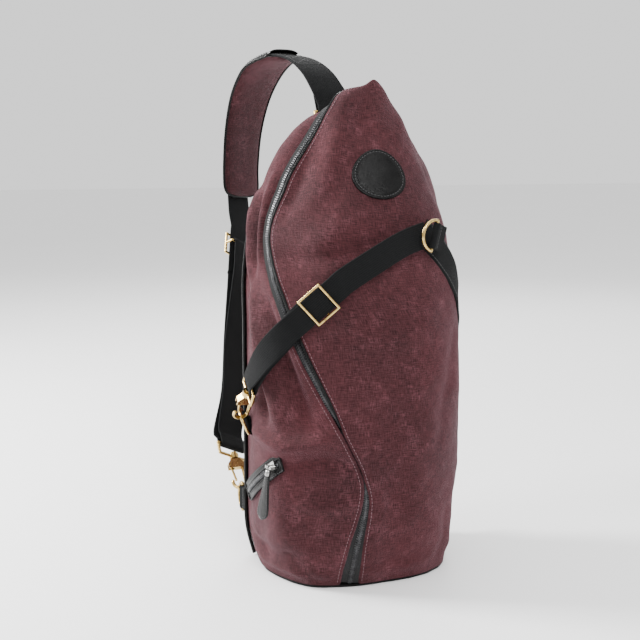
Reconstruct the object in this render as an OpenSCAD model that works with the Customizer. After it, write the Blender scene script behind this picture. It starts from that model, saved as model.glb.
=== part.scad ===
// Sling bag: a teardrop canvas body with a curved main zip, a hooked front strap and a padded
// shoulder strap. Origin at the centre of the flat base, +Z up, the front faces -Y. Millimetres.

/* [Body] */
// Width of the body between its two side seams
body_w = 200; // [190:1:210]
// Depth of the body from the front to the back panel
body_d = 128; // [120:1:134]
// Height of the body from the base to its peak
body_h = 490; // [470:1:510]
// Thickness of the outer canvas
canvas_t = 2.4; // [1.6:0.1:3]
// Thickness of the padding inside the side and front
padding_t = 3; // [2:0.1:3.5]
// Thickness of the lining
lining_t = 1; // [0.8:0.1:1.2]
// Thickness of the back panel
back_t = 4; // [3.5:0.1:4.5]
// Thickness of the base panel
base_t = 3; // [2:0.1:3.2]
// Thickness of the board inside the base
board_t = 3; // [2:0.1:4]
// Width of the slot that the main zip fills
zip_slot_w = 10; // [9:0.5:12]
// Diameter of the round leather patch
patch_d = 52; // [40:1:60]

/* [Webbing] */
// Width of the webbing on the tabs and the front strap
tab_w = 25; // [24:0.5:25.5]
// Thickness of the tab webbing
tab_t = 2; // [1.5:0.1:2.2]
// Width of the shoulder webbing
strap_w = 38; // [34:0.5:38.5]
// Thickness of the shoulder webbing
strap_t = 2; // [1.5:0.1:2.2]
// Width of the canvas trim sewn along the shoulder webbing
trim_w = 19; // [14:0.5:24]

/* [Shoulder pad] */
// Width of the pad
pad_w = 66; // [56:1:72]
// Thickness of its foam
foam_t = 8; // [6:0.5:12]
// Thickness of its leather cover
cover_t = 1.8; // [1.2:0.1:2]
// Thickness of its canvas lining
pad_lining_t = 1.2; // [1:0.1:1.6]

/* [Hardware] */
// Wire diameter of the D-rings
ring_wire = 3.2; // [2.8:0.1:3.4]
// Diameter of a D-ring's arc, to the centre of the wire
ring_d = 29.2; // [28.6:0.1:30]
// Wire diameter of the snap hooks
hook_wire = 3.8; // [3.4:0.1:4]
// Wire diameter of the front buckle
buckle_wire = 2.4; // [2:0.1:2.6]
// Wire diameter of the strap slide
slide_wire = 3.2; // [2.8:0.1:3.4]
// Wire diameter of the ring at the top of the strap
top_ring_wire = 3.5; // [3:0.1:3.7]

/* [Zips] */
// Width of a row of closed teeth
teeth_w = 5; // [4:0.1:5.4]
// Height of a row of closed teeth
teeth_t = 2.15; // [1.6:0.05:2.2]
// Length of the back pocket zip
back_zip_len = 142; // [130:1:146]
// Length of the side pocket zip along its arc
side_zip_len = 76; // [66:1:80]

/* [Hidden] */
$fn = 48;

// colours
CANVAS = "#5b3439";
LINING = "#7d6f63";
LEATHER = "#1c1a19";
WEBBING = "#222124";
TAPE = "#26262a";
BRASS = "#b59a6a";
NICKEL = "#7b7a78";
FOAM = "#d8d4cc";
BOARD = "#8a7a66";

// clearance between parts that move past each other
gap = 0.3;

// ---------- points and curves ----------

// a point of the reference body, which is 200 wide, 128 deep and 490 high
function q(p) = [p.x * body_w / 200, p.y * body_d / 128, p.z * body_h / 490];
function unit(v) = v / norm(v);
function mix(a, b, t) = a * (1 - t) + b * t;
function cr(a, b, c, d, t) =
    0.5 * (2 * b + (c - a) * t + (2 * a - 5 * b + 4 * c - d) * t * t
        + (3 * b - a - 3 * c + d) * t * t * t);
function at(l, i) = l[max(0, min(len(l) - 1, i))];
// point s of a smooth curve through the points of l, with s counting them from 0
function curve(l, s) =
    let(i = max(0, min(floor(s), len(l) - 2)))
    cr(at(l, i - 1), at(l, i), at(l, i + 1), at(l, i + 2), s - i);
function steps(a, b, n) = [for (i = [0:n]) a + (b - a) * i / n];
// matrix of a frame at p with local X along x, local Y as near to y as it goes
function frame(p, x, y) =
    let(ex = unit(x), ez = unit(cross(ex, y)), ey = cross(ez, ex))
    [[ex.x, ey.x, ez.x, p.x], [ex.y, ey.y, ez.y, p.y], [ex.z, ey.z, ez.z, p.z], [0, 0, 0, 1]];

// ---------- the body's outer surface ----------

// Each row runs from the left side seam round the front to the right side seam. The fourth
// point of a row is on the main zip. The last four rows fold over into the pointed top.
NET = [
    [[-92, 57, 3], [-94, 10, 3], [-70, -38, 3], [-29, -54, 3], [5, -56, 3],
     [50, -52, 3], [84, -30, 3], [94, 10, 3], [92, 57, 3]],
    [[-100, 57, 40], [-103, 12, 40], [-86, -38, 40], [-26, -62, 38], [8, -64, 40],
     [52, -60, 40], [90, -34, 40], [104, 10, 40], [100, 57, 40]],
    [[-100, 57, 100], [-105, 10, 100], [-88, -36, 100], [-18, -66, 100], [14, -67, 100],
     [56, -62, 100], [92, -36, 100], [105, 10, 100], [100, 57, 100]],
    [[-100, 57, 165], [-105, 12, 165], [-90, -32, 165], [-43, -62, 163], [0, -68, 165],
     [52, -64, 165], [91, -37, 165], [105, 10, 165], [100, 57, 165]],
    [[-100, 57, 245], [-103, 30, 245], [-98, -5, 245], [-79, -40, 245], [-20, -64, 245],
     [45, -62, 245], [88, -36, 245], [104, 12, 245], [100, 57, 245]],
    [[-99, 57, 310], [-101, 42, 322], [-99, 24, 328], [-91, 9, 331], [-50, -45, 325],
     [20, -56, 320], [80, -34, 315], [102, 15, 312], [99, 57, 310]],
    [[-86, 57, 372], [-86, 44, 380], [-84, 28, 384], [-76, 14, 385], [-38, -22, 385],
     [15, -38, 380], [70, -24, 372], [95, 20, 366], [94, 57, 365]],
    [[-50, 57, 424], [-52, 46, 434], [-50, 32, 440], [-42, 20, 438], [-15, -2, 440],
     [20, -12, 435], [60, -5, 420], [84, 25, 405], [82, 57, 400]],
    [[-15, 57, 439], [-18, 48, 452], [-20, 36, 462], [-18, 24, 466], [5, 12, 478],
     [28, 14, 480], [52, 18, 455], [70, 35, 430], [70, 57, 418]],
    [[20, 57, 440], [16, 52, 450], [10, 42, 460], [8, 34, 468], [20, 26, 484],
     [28, 25, 490], [44, 30, 470], [58, 42, 445], [60, 57, 428]],
    [[54, 57, 431], [54, 54, 434], [55, 51, 437], [56, 48, 440], [58, 49, 441],
     [60, 50, 440], [60, 52, 437], [60, 54, 434], [59, 57, 430]]];
SURF = [for (row = NET) [for (p = row) q(p)]];
ZIP_U = 3;
SEAM_U = 8;
TOP_V = 9.9;

// a point of the surface, with u counting the columns and v the rows
function surf(u, v) = curve([for (row = SURF) curve(row, u)], v);
function across(u, v) = (surf(u + 0.03, v) - surf(u - 0.03, v)) / 0.06;
function upward(u, v) = surf(u, min(v + 0.03, TOP_V)) - surf(u, min(v, TOP_V - 0.05) - 0.03);
function outward(u, v) = unit(cross(across(u, v), upward(u, v)));
function lifted(u, v, h) = surf(u, v) + h * outward(u, v);
// the u that lies half a zip slot from the zip, on the side that is given as -1 or 1
function slot_u(v, side) = ZIP_U + side * zip_slot_w / 2 / norm(across(ZIP_U, v));

// ---------- shapes that repeat ----------

// a closed solid from two grids of points, the outer one first, with equal numbers of points
module slab(outer, inner) {
    n = len(outer);
    m = len(outer[0]);
    k = n * m;
    function id(i, j, s) = s * k + i * m + j;
    polyhedron(
        [for (row = outer) each row, for (row = inner) each row],
        [for (i = [0:n - 2]) for (j = [0:m - 2]) each [
            [id(i, j, 0), id(i + 1, j + 1, 0), id(i, j + 1, 0)],
            [id(i, j, 0), id(i + 1, j, 0), id(i + 1, j + 1, 0)],
            [id(i, j, 1), id(i, j + 1, 1), id(i + 1, j + 1, 1)],
            [id(i, j, 1), id(i + 1, j + 1, 1), id(i + 1, j, 1)]],
         for (i = [0:n - 2]) each [
            [id(i, 0, 0), id(i, 0, 1), id(i + 1, 0, 1), id(i + 1, 0, 0)],
            [id(i, m - 1, 0), id(i + 1, m - 1, 0), id(i + 1, m - 1, 1), id(i, m - 1, 1)]],
         for (j = [0:m - 2]) each [
            [id(0, j, 0), id(0, j + 1, 0), id(0, j + 1, 1), id(0, j, 1)],
            [id(n - 1, j, 0), id(n - 1, j, 1), id(n - 1, j + 1, 1), id(n - 1, j + 1, 0)]]]);
}

// a flat band of one width and thickness along a smooth curve. The sides are the directions of
// its width at each point of the path, and lift moves it along its outward face.
module ribbon(path, sides, width, thick, lift = 0, per = 5) {
    n = (len(path) - 1) * per;
    grid = [for (i = [0:n])
        let(s = i / per, e = 0.02,
            along = unit(curve(path, min(s + e, len(path) - 1)) - curve(path, max(s - e, 0))),
            side = curve(sides, s),
            w = unit(side - (side * along) * along),
            out = cross(w, along),
            p = curve(path, s) + lift * out)
        [[p - w * width / 2 + out * thick / 2, p + w * width / 2 + out * thick / 2],
         [p - w * width / 2 - out * thick / 2, p + w * width / 2 - out * thick / 2]]];
    slab([for (g = grid) g[0]], [for (g = grid) g[1]]);
}

// a band laid on the body's surface along a curve of [u, v] pairs
module surface_band(uv, width, thick, lift, n) {
    grid = [for (s = steps(0, len(uv) - 1, n))
        let(c = curve(uv, s), e = 0.04,
            a = curve(uv, max(s - e, 0)), b = curve(uv, min(s + e, len(uv) - 1)),
            along = unit(surf(b[0], b[1]) - surf(a[0], a[1])),
            out = outward(c[0], c[1]),
            w = unit(cross(along, out)),
            p = surf(c[0], c[1]) + lift * out)
        [[p - w * width / 2 + out * thick, p + w * width / 2 + out * thick],
         [p - w * width / 2, p + w * width / 2]]];
    slab([for (g = grid) g[0]], [for (g = grid) g[1]]);
}

// a tube through the points of a closed or open path
module tube(path, r, sides = 8, closed = false) {
    n = len(path);
    rings = [for (i = [0:n - 1])
        let(a = closed ? path[(i + n - 1) % n] : at(path, i - 1),
            b = closed ? path[(i + 1) % n] : at(path, i + 1),
            along = unit(b - a), w = unit(cross(along, [0, 1, 0.01])), h = cross(along, w))
        [for (k = [0:sides - 1]) path[i] + r * (cos(360 * k / sides) * w + sin(360 * k / sides) * h)]];
    last = closed ? n - 1 : n - 2;
    polyhedron(
        [for (ring = rings) each ring],
        [for (i = [0:last]) for (k = [0:sides - 1])
            let(a = i * sides + k, b = i * sides + (k + 1) % sides,
                c = ((i + 1) % n) * sides + k, d = ((i + 1) % n) * sides + (k + 1) % sides)
            each [[a, d, b], [a, c, d]],
         if (!closed) [for (k = [0:sides - 1]) k],
         if (!closed) [for (k = [sides - 1:-1:0]) (n - 1) * sides + k]]);
}

// a straight round wire between two points, with round ends
module wire(a, b, r) {
    d = b - a;
    translate(a) rotate([0, acos(d.z / norm(d)), atan2(d.y, d.x)]) cylinder(h = norm(d), r = r);
    for (p = [a, b]) translate(p) sphere(r);
}

// D-ring with its bar along Z and its arc towards +X
module d_ring() {
    r = ring_d / 2;
    wire([0, 0, -r], [0, 0, r], ring_wire / 2);
    rotate([90, 0, 0]) rotate([0, 0, -90]) rotate_extrude(angle = 180) translate([r, 0])
        circle(ring_wire / 2);
}

// webbing folded round a bar along Z, with its doubled tail towards -X
module bar_loop(bar_r, width, thick, tail) {
    inner = bar_r + gap;
    translate([0, 0, -width / 2]) linear_extrude(width) difference() {
        union() {
            circle(inner + thick);
            translate([-tail, -thick]) square([tail, 2 * thick]);
        }
        circle(inner);
    }
}

// Snap hook: its axis is Z, the wire that it holds crosses the origin along X, and its gate is
// on the +Y side.
bend_r = 5 + hook_wire / 2;
bend_z = 2.6;
nose_a = 12;
body_z = 19;
body_top_z = 30;
pivot = [0, 5.6, 21.6];
stem_r = 2;
head_z = 36.6;
module snap_hook() {
    r = hook_wire / 2;
    translate([0, 0, bend_z]) rotate([90, 0, 90]) rotate([0, 0, 180])
        rotate_extrude(angle = 180 + nose_a) translate([bend_r, 0]) circle(r);
    translate([0, bend_r * cos(nose_a), bend_z + bend_r * sin(nose_a)]) sphere(r);
    translate([0, -bend_r, bend_z]) cylinder(h = body_z - bend_z + 2, r = r);
    difference() {
        translate([-3.4, 0, 0]) rotate([90, 0, 90]) linear_extrude(6.8) polygon([
            [-bend_r - r, body_z], [8.6, body_z], [8.6, 24.5], [4, body_top_z],
            [-4, body_top_z], [-bend_r - r, 24.5]]);
        translate([-1.8, 2.2, body_z - 1]) cube([3.6, 8, 6]);
    }
    translate([-3, pivot.y, pivot.z]) rotate([0, 90, 0]) cylinder(h = 6, r = 0.9);
    translate([0, 0, body_top_z - 1]) cylinder(h = head_z - body_top_z + 2, r = stem_r);
    translate([0, 0, head_z]) cylinder(h = 1.8, r = 3.2);
}

// the sprung gate of a snap hook, closed
module snap_gate() {
    foot = [0, 3.0, 5.2];
    d = foot - pivot;
    difference() {
        union() {
            translate([-1.4, pivot.y, pivot.z]) rotate([0, 90, 0]) cylinder(h = 2.8, r = 2.2);
            translate(foot) rotate([-atan2(d.y, d.z) + 180, 0, 0]) cylinder(h = norm(d) - 1, r = 1.25);
            translate(foot) sphere(1.25);
        }
        translate([-2, pivot.y, pivot.z]) rotate([0, 90, 0]) cylinder(h = 4, r = 1.1);
    }
}

// the swivel eye above a snap hook: a collar on the hook's stem and a loop for webbing, with
// its bar along X
collar_z = body_top_z + gap;
eye_bar_z = 46;
eye_wire = 3.4;
module swivel_eye(inner_w) {
    collar_h = head_z - gap - collar_z;
    mid_z = collar_z + collar_h / 2;
    x = inner_w / 2 + eye_wire / 2;
    r = eye_wire / 2;
    difference() {
        union() {
            translate([0, 0, collar_z]) cylinder(h = collar_h, r = 5);
            wire([-x, 0, mid_z], [x, 0, mid_z], r);
        }
        translate([0, 0, collar_z - 1]) cylinder(h = collar_h + 2, r = stem_r + 0.2);
    }
    for (s = [-1, 1]) wire([s * x, 0, mid_z], [s * x, 0, eye_bar_z], r);
    wire([-x, 0, eye_bar_z], [x, 0, eye_bar_z], r);
}

// Three-bar slide: Z runs along the strap, X across it. The strap passes under the end bars
// and over the middle bar, and a second ply loops round the middle bar.
function end_bar_y(wire_d, thick) = thick / 2 + gap + wire_d / 2;
function mid_bar_y(wire_d, thick, ply_t) = -(thick / 2 + 2 * gap + ply_t + wire_d / 2);
module three_bar_slide(inner_w, length, wire_d, thick, ply_t) {
    x = inner_w / 2 + wire_d / 2;
    z = length / 2 - wire_d / 2;
    y1 = end_bar_y(wire_d, thick);
    y2 = mid_bar_y(wire_d, thick, ply_t);
    for (s = [-1, 1]) {
        wire([-x, y1, s * z], [x, y1, s * z], wire_d / 2);
        wire([s * x, y1, -z], [s * x, y1, z], wire_d / 2);
        wire([s * x, y1, 0], [s * x, y2, 0], wire_d / 2);
    }
    wire([-x, y2, 0], [x, y2, 0], wire_d / 2);
}

// Zip slider: X runs along the teeth, Y is outward from the tape, and its pull hangs on a pin
// that is turned from X by pin_turn.
slider_top = teeth_t + gap + 1.3;
pull_y = slider_top + gap + 2.1;
module zip_slider(pin_turn) {
    wall = 1.2;
    half = teeth_w / 2 + 0.4;
    difference() {
        translate([-6, gap + 0.05, -half - wall]) cube([12, slider_top - gap - 0.05, 2 * (half + wall)]);
        translate([-7, -1, -half]) cube([14, 1 + teeth_t + gap, 2 * half]);
    }
    rotate([0, pin_turn, 0]) {
        for (s = [-1, 1]) translate([s * 3.4 - 0.7, slider_top - 0.4, -1.5])
            cube([1.4, pull_y - slider_top + 1.6, 3]);
        translate([-3.4, pull_y, 0]) rotate([0, 90, 0]) cylinder(h = 6.8, r = 0.9);
    }
}

// leather pull of a zip, turned about the same pin: it lies towards -Z before its own lift
module zip_pull(pin_turn, length, lift_a) {
    rotate([0, pin_turn, 0]) translate([0, pull_y, 0]) rotate([lift_a, 0, 0]) {
        difference() {
            union() {
                translate([-2.3, 0, 0]) rotate([0, 90, 0]) cylinder(h = 4.6, r = 2.05);
                translate([0, 1.1, 0]) rotate([90, 0, 0]) linear_extrude(2.2) polygon([
                    [-2.2, 0], [-4, -8], [-8.5, -length + 14], [-7, -length + 4], [-3, -length],
                    [3, -length], [7, -length + 4], [8.5, -length + 14], [4, -8], [2.2, 0]]);
            }
            translate([-4, 0, 0]) rotate([0, 90, 0]) cylinder(h = 8, r = 1.15);
        }
    }
}

// ---------- body ----------

SEAM_Y = q([0, 57, 0]).y;
BACK_Y = SEAM_Y + 0.2 + back_t;
rail_l = [for (v = steps(0, TOP_V, 40)) surf(0, v)];
rail_r = [for (v = steps(TOP_V, 0, 40)) surf(SEAM_U, v)];
back_outline = [for (p = concat(rail_l, rail_r)) [p.x, p.z]];
base_outline = [for (u = steps(0, SEAM_U, 32)) let(p = surf(u, 0)) [p.x, p.y]];

// the back zip's frame: local X along the zip from its closed end at the left
back_zip_frame = frame([0, SEAM_Y + 0.1, q([0, 0, 347.5]).z], [142, 0, 9], [0, 1, 0]);

module back_panel() {
    color(CANVAS) difference() {
        translate([0, BACK_Y, 0]) rotate([90, 0, 0]) linear_extrude(back_t) polygon(back_outline);
        multmatrix(back_zip_frame) translate([-back_zip_len / 2, -10, -6])
            cube([back_zip_len, 20, 12]);
    }
}

module back_piping() {
    r = 2.1;
    y = SEAM_Y + 0.2 + r;
    rail = concat(rail_l, rail_r);
    n = len(rail);
    color(LEATHER) tube([for (i = [0:n - 1])
        let(d = unit(at(rail, i + 1) - at(rail, i - 1)), o = cross(d, [0, 1, 0]))
        [rail[i].x, y, rail[i].z] + (r + 0.3) * o], r, 6);
}

module inset_plate(y0, t, inset) {
    color(FOAM) translate([0, y0 + t, 0]) rotate([90, 0, 0]) linear_extrude(t)
        intersection() {
            translate([-body_w, base_t + 8]) square([2 * body_w, body_h]);
            offset(delta = -inset) polygon(back_outline);
        }
}

module back_foam() {
    color(FOAM) inset_plate(SEAM_Y - 11, 5, 9);
}

module back_lining() {
    color(LINING) inset_plate(SEAM_Y - 12.5, 1, 9);
}

module left_gusset() {
    vs = steps(0.002, TOP_V, 36);
    function grid(h) = [for (v = vs) [for (s = steps(0, 1, 10)) lifted(s * slot_u(v, -1), v, h)]];
    color(CANVAS) slab(grid(0), grid(-canvas_t));
}

module front_flap() {
    vs = steps(0.002, TOP_V, 36);
    function grid(h) = [for (v = vs) [for (s = steps(0, 1, 16))
        lifted(mix(slot_u(v, 1), SEAM_U, s), v, h)]];
    color(CANVAS) slab(grid(0), grid(-canvas_t));
}

// black edging that covers the flap's edge beside the zip, from the front up to the top
module flap_binding() {
    edge = [for (v = steps(2.7, 9.5, 44)) lifted(slot_u(v, 1.5), v, 0.4)];
    color(LEATHER) tube(edge, 1.9, 6);
}

module base_panel() {
    color(LEATHER) linear_extrude(base_t) polygon(base_outline);
}

module base_board() {
    color(BOARD) translate([0, 0, base_t + 0.2]) linear_extrude(board_t)
        intersection() {
            offset(delta = -8) polygon(base_outline);
            translate([-body_w, -body_d]) square([2 * body_w, body_d + SEAM_Y - 14]);
        }
}

// foam between the canvas and the lining, on each side of the zip
module wall_padding(u_low, u_high) {
    vs = steps(0.25, 8.2, 20);
    n = ceil(2 * (u_high - u_low));
    function grid(h) = [for (v = vs) [for (u = steps(u_low, u_high, n)) lifted(u, v, h)]];
    color(FOAM) slab(grid(-canvas_t - 1.6), grid(-canvas_t - 1.6 - padding_t));
}

module left_padding() wall_padding(0.5, 2.6);
module front_padding() wall_padding(3.4, SEAM_U - 0.45);

module lining() {
    vs = steps(0.3, 8.1, 22);
    low = -canvas_t - padding_t - 3.4;
    function grid(h) = [for (v = vs) [for (u = steps(0.55, SEAM_U - 0.5, 18)) lifted(u, v, h)]];
    color(LINING) slab(grid(low), grid(low - lining_t));
}

module leather_patch() {
    c = [4.85, 6.35];
    size = patch_d / 2;
    du = size / norm(across(c[0], c[1]));
    dv = size / norm(surf(c[0], c[1] + 0.5) - surf(c[0], c[1] - 0.5));
    function grid(h) = [for (s = [-1, -0.7, -0.3, 0, 0.3, 0.7, 1]) [for (a = steps(-1, 1, 12))
        let(x = sin(90 * a), y = s * sqrt(max(0, 1 - x * x) + 0.0004))
        lifted(c[0] + du * x, c[1] + dv * y, h)]];
    color(LEATHER) slab(grid(2.2), grid(0.2));
}

// ---------- main zip ----------

main_run = unit(q([-48, -14, 28]));
main_rise = 3.8;
main_out = outward(ZIP_U, 9.6);
main_zip_frame = frame(q([56, 48, 440]) + main_rise * main_out, main_run, main_out);
main_slider_x = 6;
main_pin_turn = 96;
straight_len = 46;
module zip_strip(width, low, high) {
    vs = steps(0.03, 9.15, 54);
    function row(v, h) =
        let(w = unit(across(ZIP_U, v)), p = surf(ZIP_U, v), o = outward(ZIP_U, v))
        [p - w * width / 2 + o * h, p + w * width / 2 + o * h];
    slab([for (v = vs) row(v, high)], [for (v = vs) row(v, low)]);
}

module main_zip_tape() {
    color(TAPE) {
        zip_strip(zip_slot_w - 0.8, -1.2, -0.1);
        multmatrix(main_zip_frame) translate([-2, -1.3, -zip_slot_w / 2 + 0.4])
            cube([straight_len, 1.1, zip_slot_w - 0.8]);
    }
}

module main_zip_teeth() {
    color(NICKEL) {
        zip_strip(teeth_w, 0, teeth_t);
        multmatrix(main_zip_frame) translate([0, 0, -teeth_w / 2])
            cube([straight_len - 2, teeth_t, teeth_w]);
    }
}

module main_zip_slider() {
    color(NICKEL) multmatrix(main_zip_frame) translate([main_slider_x, 0, 0])
        zip_slider(main_pin_turn);
}

module main_zip_pull() {
    color(LEATHER) multmatrix(main_zip_frame) translate([main_slider_x, 0, 0])
        zip_pull(main_pin_turn, 42, 10);
}

// ---------- back pocket zip ----------

back_slider_x = back_zip_len / 2 - 9;
module back_zip_tape() {
    color(TAPE) multmatrix(back_zip_frame) translate([-back_zip_len / 2 - 4, -1.6, -12])
        cube([back_zip_len + 8, 1.5, 24]);
}

module back_zip_teeth() {
    color(NICKEL) multmatrix(back_zip_frame) translate([-back_zip_len / 2 + 1, 0, -teeth_w / 2])
        cube([back_zip_len - 2, teeth_t, teeth_w]);
}

module back_zip_slider() {
    color(NICKEL) multmatrix(back_zip_frame) translate([back_slider_x, 0, 0]) zip_slider(0);
}

module back_zip_pull() {
    color(LEATHER) multmatrix(back_zip_frame) translate([back_slider_x, 0, 0])
        zip_pull(0, 52, 0);
}

module back_pocket_bag() {
    w = back_zip_len + 4;
    color(LINING) difference() {
        translate([-w / 2, SEAM_Y - 5, 180]) cube([w, 3, q([0, 0, 345]).z - 180 + 4]);
        translate([-w / 2 + 1, SEAM_Y - 4, 181]) cube([w - 2, 1, q([0, 0, 345]).z]);
    }
}

// ---------- side pocket zip ----------

// its teeth lie on an arc that bends with the left side of the body
side_arc_r = 150;
side_mid = q([-106, -2.5, 104]);
side_zip_frame = frame(side_mid, q([-13, 58, -44]), [-1, -0.2, 0.02]);
side_slider_a = side_zip_len / 2 / side_arc_r * 180 / PI - 3.2;
side_pin_turn = 38;
module side_arc(low, high, width, extra) {
    a = (side_zip_len + extra) / side_arc_r * 180 / PI;
    multmatrix(side_zip_frame) translate([0, -side_arc_r, 0]) rotate([0, 0, 90 - a / 2])
        rotate_extrude(angle = a, $fn = 240) translate([side_arc_r + low, -width / 2])
            square([high - low, width]);
}

module on_side_arc(a) {
    multmatrix(side_zip_frame) translate([0, -side_arc_r, 0]) rotate([0, 0, a])
        translate([0, side_arc_r, 0]) children();
}

module side_zip_tape() {
    color(LEATHER) side_arc(-3.5, -0.1, 15, 8);
}

module side_zip_teeth() {
    color(NICKEL) side_arc(0, teeth_t, teeth_w, 0);
}

module side_zip_slider() {
    color(NICKEL) on_side_arc(side_slider_a) zip_slider(-side_pin_turn);
}

module side_zip_pull() {
    color(LEATHER) on_side_arc(side_slider_a) zip_pull(-side_pin_turn, 52, 0);
}

module side_pocket_bag() {
    function grid(h) = [for (v = steps(0.5, 2.1, 10)) [for (u = steps(0.5, 2.1, 6)) lifted(u, v, h)]];
    color(LINING) slab(grid(-canvas_t - 0.7), grid(-canvas_t - 1.2));
}

// ---------- D-rings and their tabs ----------

// Each place is a frame at the ring's bar: local X is where the arc points, local Z the bar,
// then the tab's lean about the bar and the length of its tail.
left_up_dir = unit([-0.5, -0.52, 0.69]);
left_up_bar = q([-108.5, 36, 152]);
left_upper = [frame(left_up_bar, left_up_dir, [-1, 0, 0]), 18, 15];
left_lower = [frame(q([-103, 70, 62]), [0, 1, 0], [-1, 0, 0]), 0, 12];
right_upper = [frame(q([113, 60, 153]), [1, 0.12, 0], [0, 1, 0]), 0, 15];
right_lower = [frame(q([113, 60, 63]), [1, 0.12, 0], [0, 1, 0]), 0, 15];
front_place = [frame(q([50, -66, 344]), [-0.93, -0.3, 0.3], [-0.3, 0.9, 0]), -14, 16];

module ring_at(place) {
    color(BRASS) multmatrix(place[0]) d_ring();
}

module tab_at(place) {
    color(WEBBING) multmatrix(place[0]) rotate([0, 0, place[1]])
        bar_loop(ring_wire / 2, tab_w, 1.6, place[2]);
}

module left_upper_tab() tab_at(left_upper);
module left_upper_ring() ring_at(left_upper);
module left_lower_tab() tab_at(left_lower);
module left_lower_ring() ring_at(left_lower);
module right_upper_tab() tab_at(right_upper);
module right_upper_ring() ring_at(right_upper);
module right_lower_tab() tab_at(right_lower);
module right_lower_ring() ring_at(right_lower);
module front_d_tab() tab_at(front_place);
module front_d_ring() ring_at(front_place);

// ---------- front strap ----------

// a point given in the local frame m
function into(m, p) = [for (i = [0:2]) m[i][0] * p.x + m[i][1] * p.y + m[i][2] * p.z + m[i][3]];

// frame of a hook that holds a ring's wire: local Z is its axis, local X the wire
function hook_frame(p, axis, wire_dir) =
    let(ez = unit(axis), ey = unit(cross(ez, wire_dir)), ex = cross(ey, ez))
    [[ex.x, ey.x, ez.x, p.x], [ex.y, ey.y, ez.y, p.y], [ex.z, ey.z, ez.z, p.z], [0, 0, 0, 1]];

// frame of a slide on a straight run from a to b: local X is the width, local Z points back to a
function slide_frame(a, b, side, t) =
    let(ez = unit(a - b), ex = unit(side - (side * ez) * ez), ey = cross(ez, ex), p = mix(a, b, t))
    [[ex.x, ey.x, ez.x, p.x], [ex.y, ey.y, ez.y, p.y], [ex.z, ey.z, ez.z, p.z], [0, 0, 0, 1]];

// local points of webbing that comes along a bar's side, goes round its far side and lies back,
// in a frame whose X is the bar: y0 and z0 place the bar, r is the radius to the ply's middle,
// up is the side it goes round, and lead and tail add points straight before and after the turn
function round_bar(y0, z0, r, up, from_y, lead = [], tail = []) = concat(
    [for (d = lead) [0, y0 + from_y * r, z0 - up * d]],
    [for (a = [0:30:180]) [0, y0 + from_y * r * cos(a), z0 + up * r * sin(a)]],
    [for (d = tail) [0, y0 - from_y * r, z0 - up * d]]);

FRONT_AXIS = unit([0.06, -0.6, 0.8]);
FRONT_BAR = [0, 0.8, 0.6];
front_hold = left_up_bar + ring_d / 2 * left_up_dir;
front_hook_at = hook_frame(front_hold, FRONT_AXIS, FRONT_BAR);
front_ply = eye_wire / 2 + gap + tab_t / 2;

// the strap runs straight from run_a to run_b, through the buckle
run_a = q([-41, -70, 306]);
run_b = q([-93, -49, 256]);
run_side = [-0.66, 0.12, 0.75];
curl_side = [-0.35, 0.6, 0.7];
buckle_at = slide_frame(run_a, run_b, run_side, 0.45);

// five points between a and b, so that the curve through them is straight but for its ends
function straight(a, b) = [for (t = [0.14, 0.32, 0.5, 0.68, 0.86]) mix(a, b, t)];

module front_strap() {
    path = [q([44, -60, 345]), q([20, -65, 338]), q([-8, -70, 325]), run_a,
        each straight(run_a, run_b), run_b, q([-109, -30, 231]),
        into(front_hook_at, [0, front_ply, eye_bar_z + 9]),
        into(front_hook_at, [0, front_ply, eye_bar_z + 1.3])];
    sides = [[-0.3, 0, 0.95], [-0.35, 0, 0.94], [-0.5, 0.05, 0.85], run_side,
        each [for (i = [1:5]) run_side], run_side, curl_side, FRONT_BAR, FRONT_BAR];
    color(WEBBING) ribbon(path, sides, tab_w, tab_t, 0, 4);
}

// the ply that turns round the hook's eye and goes back to the buckle's middle bar
module front_return() {
    bar_y = mid_bar_y(buckle_wire, tab_t, tab_t);
    r = buckle_wire / 2 + gap + tab_t / 2;
    eye_end = [for (p = round_bar(0, eye_bar_z, front_ply, -1, 1, [0.9], [1.5, 4, 9]))
        into(front_hook_at, p)];
    buckle_end = [for (p = round_bar(bar_y, 0, r, 1, -1, [22, 11, 5, 1.5])) into(buckle_at, p)];
    bar_dir = [for (i = [0:2]) buckle_at[i][0]];
    path = concat(eye_end, [q([-105, -24, 229])], buckle_end);
    sides = concat([for (p = eye_end) FRONT_BAR], [curl_side], [for (p = buckle_end) bar_dir]);
    color(WEBBING) ribbon(path, sides, tab_w, tab_t, 0, 2);
}

module front_buckle() {
    color(BRASS) multmatrix(buckle_at)
        three_bar_slide(tab_w + 1.6, 27, buckle_wire, tab_t, tab_t);
}

module front_hook_eye() {
    color(BRASS) multmatrix(front_hook_at) swivel_eye(tab_w + 2);
}

module front_hook() {
    color(BRASS) multmatrix(front_hook_at) snap_hook();
}

module front_hook_gate() {
    color(BRASS) multmatrix(front_hook_at) snap_gate();
}

// dark webbing that ties the front strap's root to the right side seam
module side_strip() {
    color(WEBBING) surface_band([[5.45, 5.5], [5.95, 4.9], [6.45, 4.2], [7.1, 3.4], [7.75, 2.6]],
        29, 1.6, 0.2, 24);
}

// ---------- shoulder strap ----------

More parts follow.
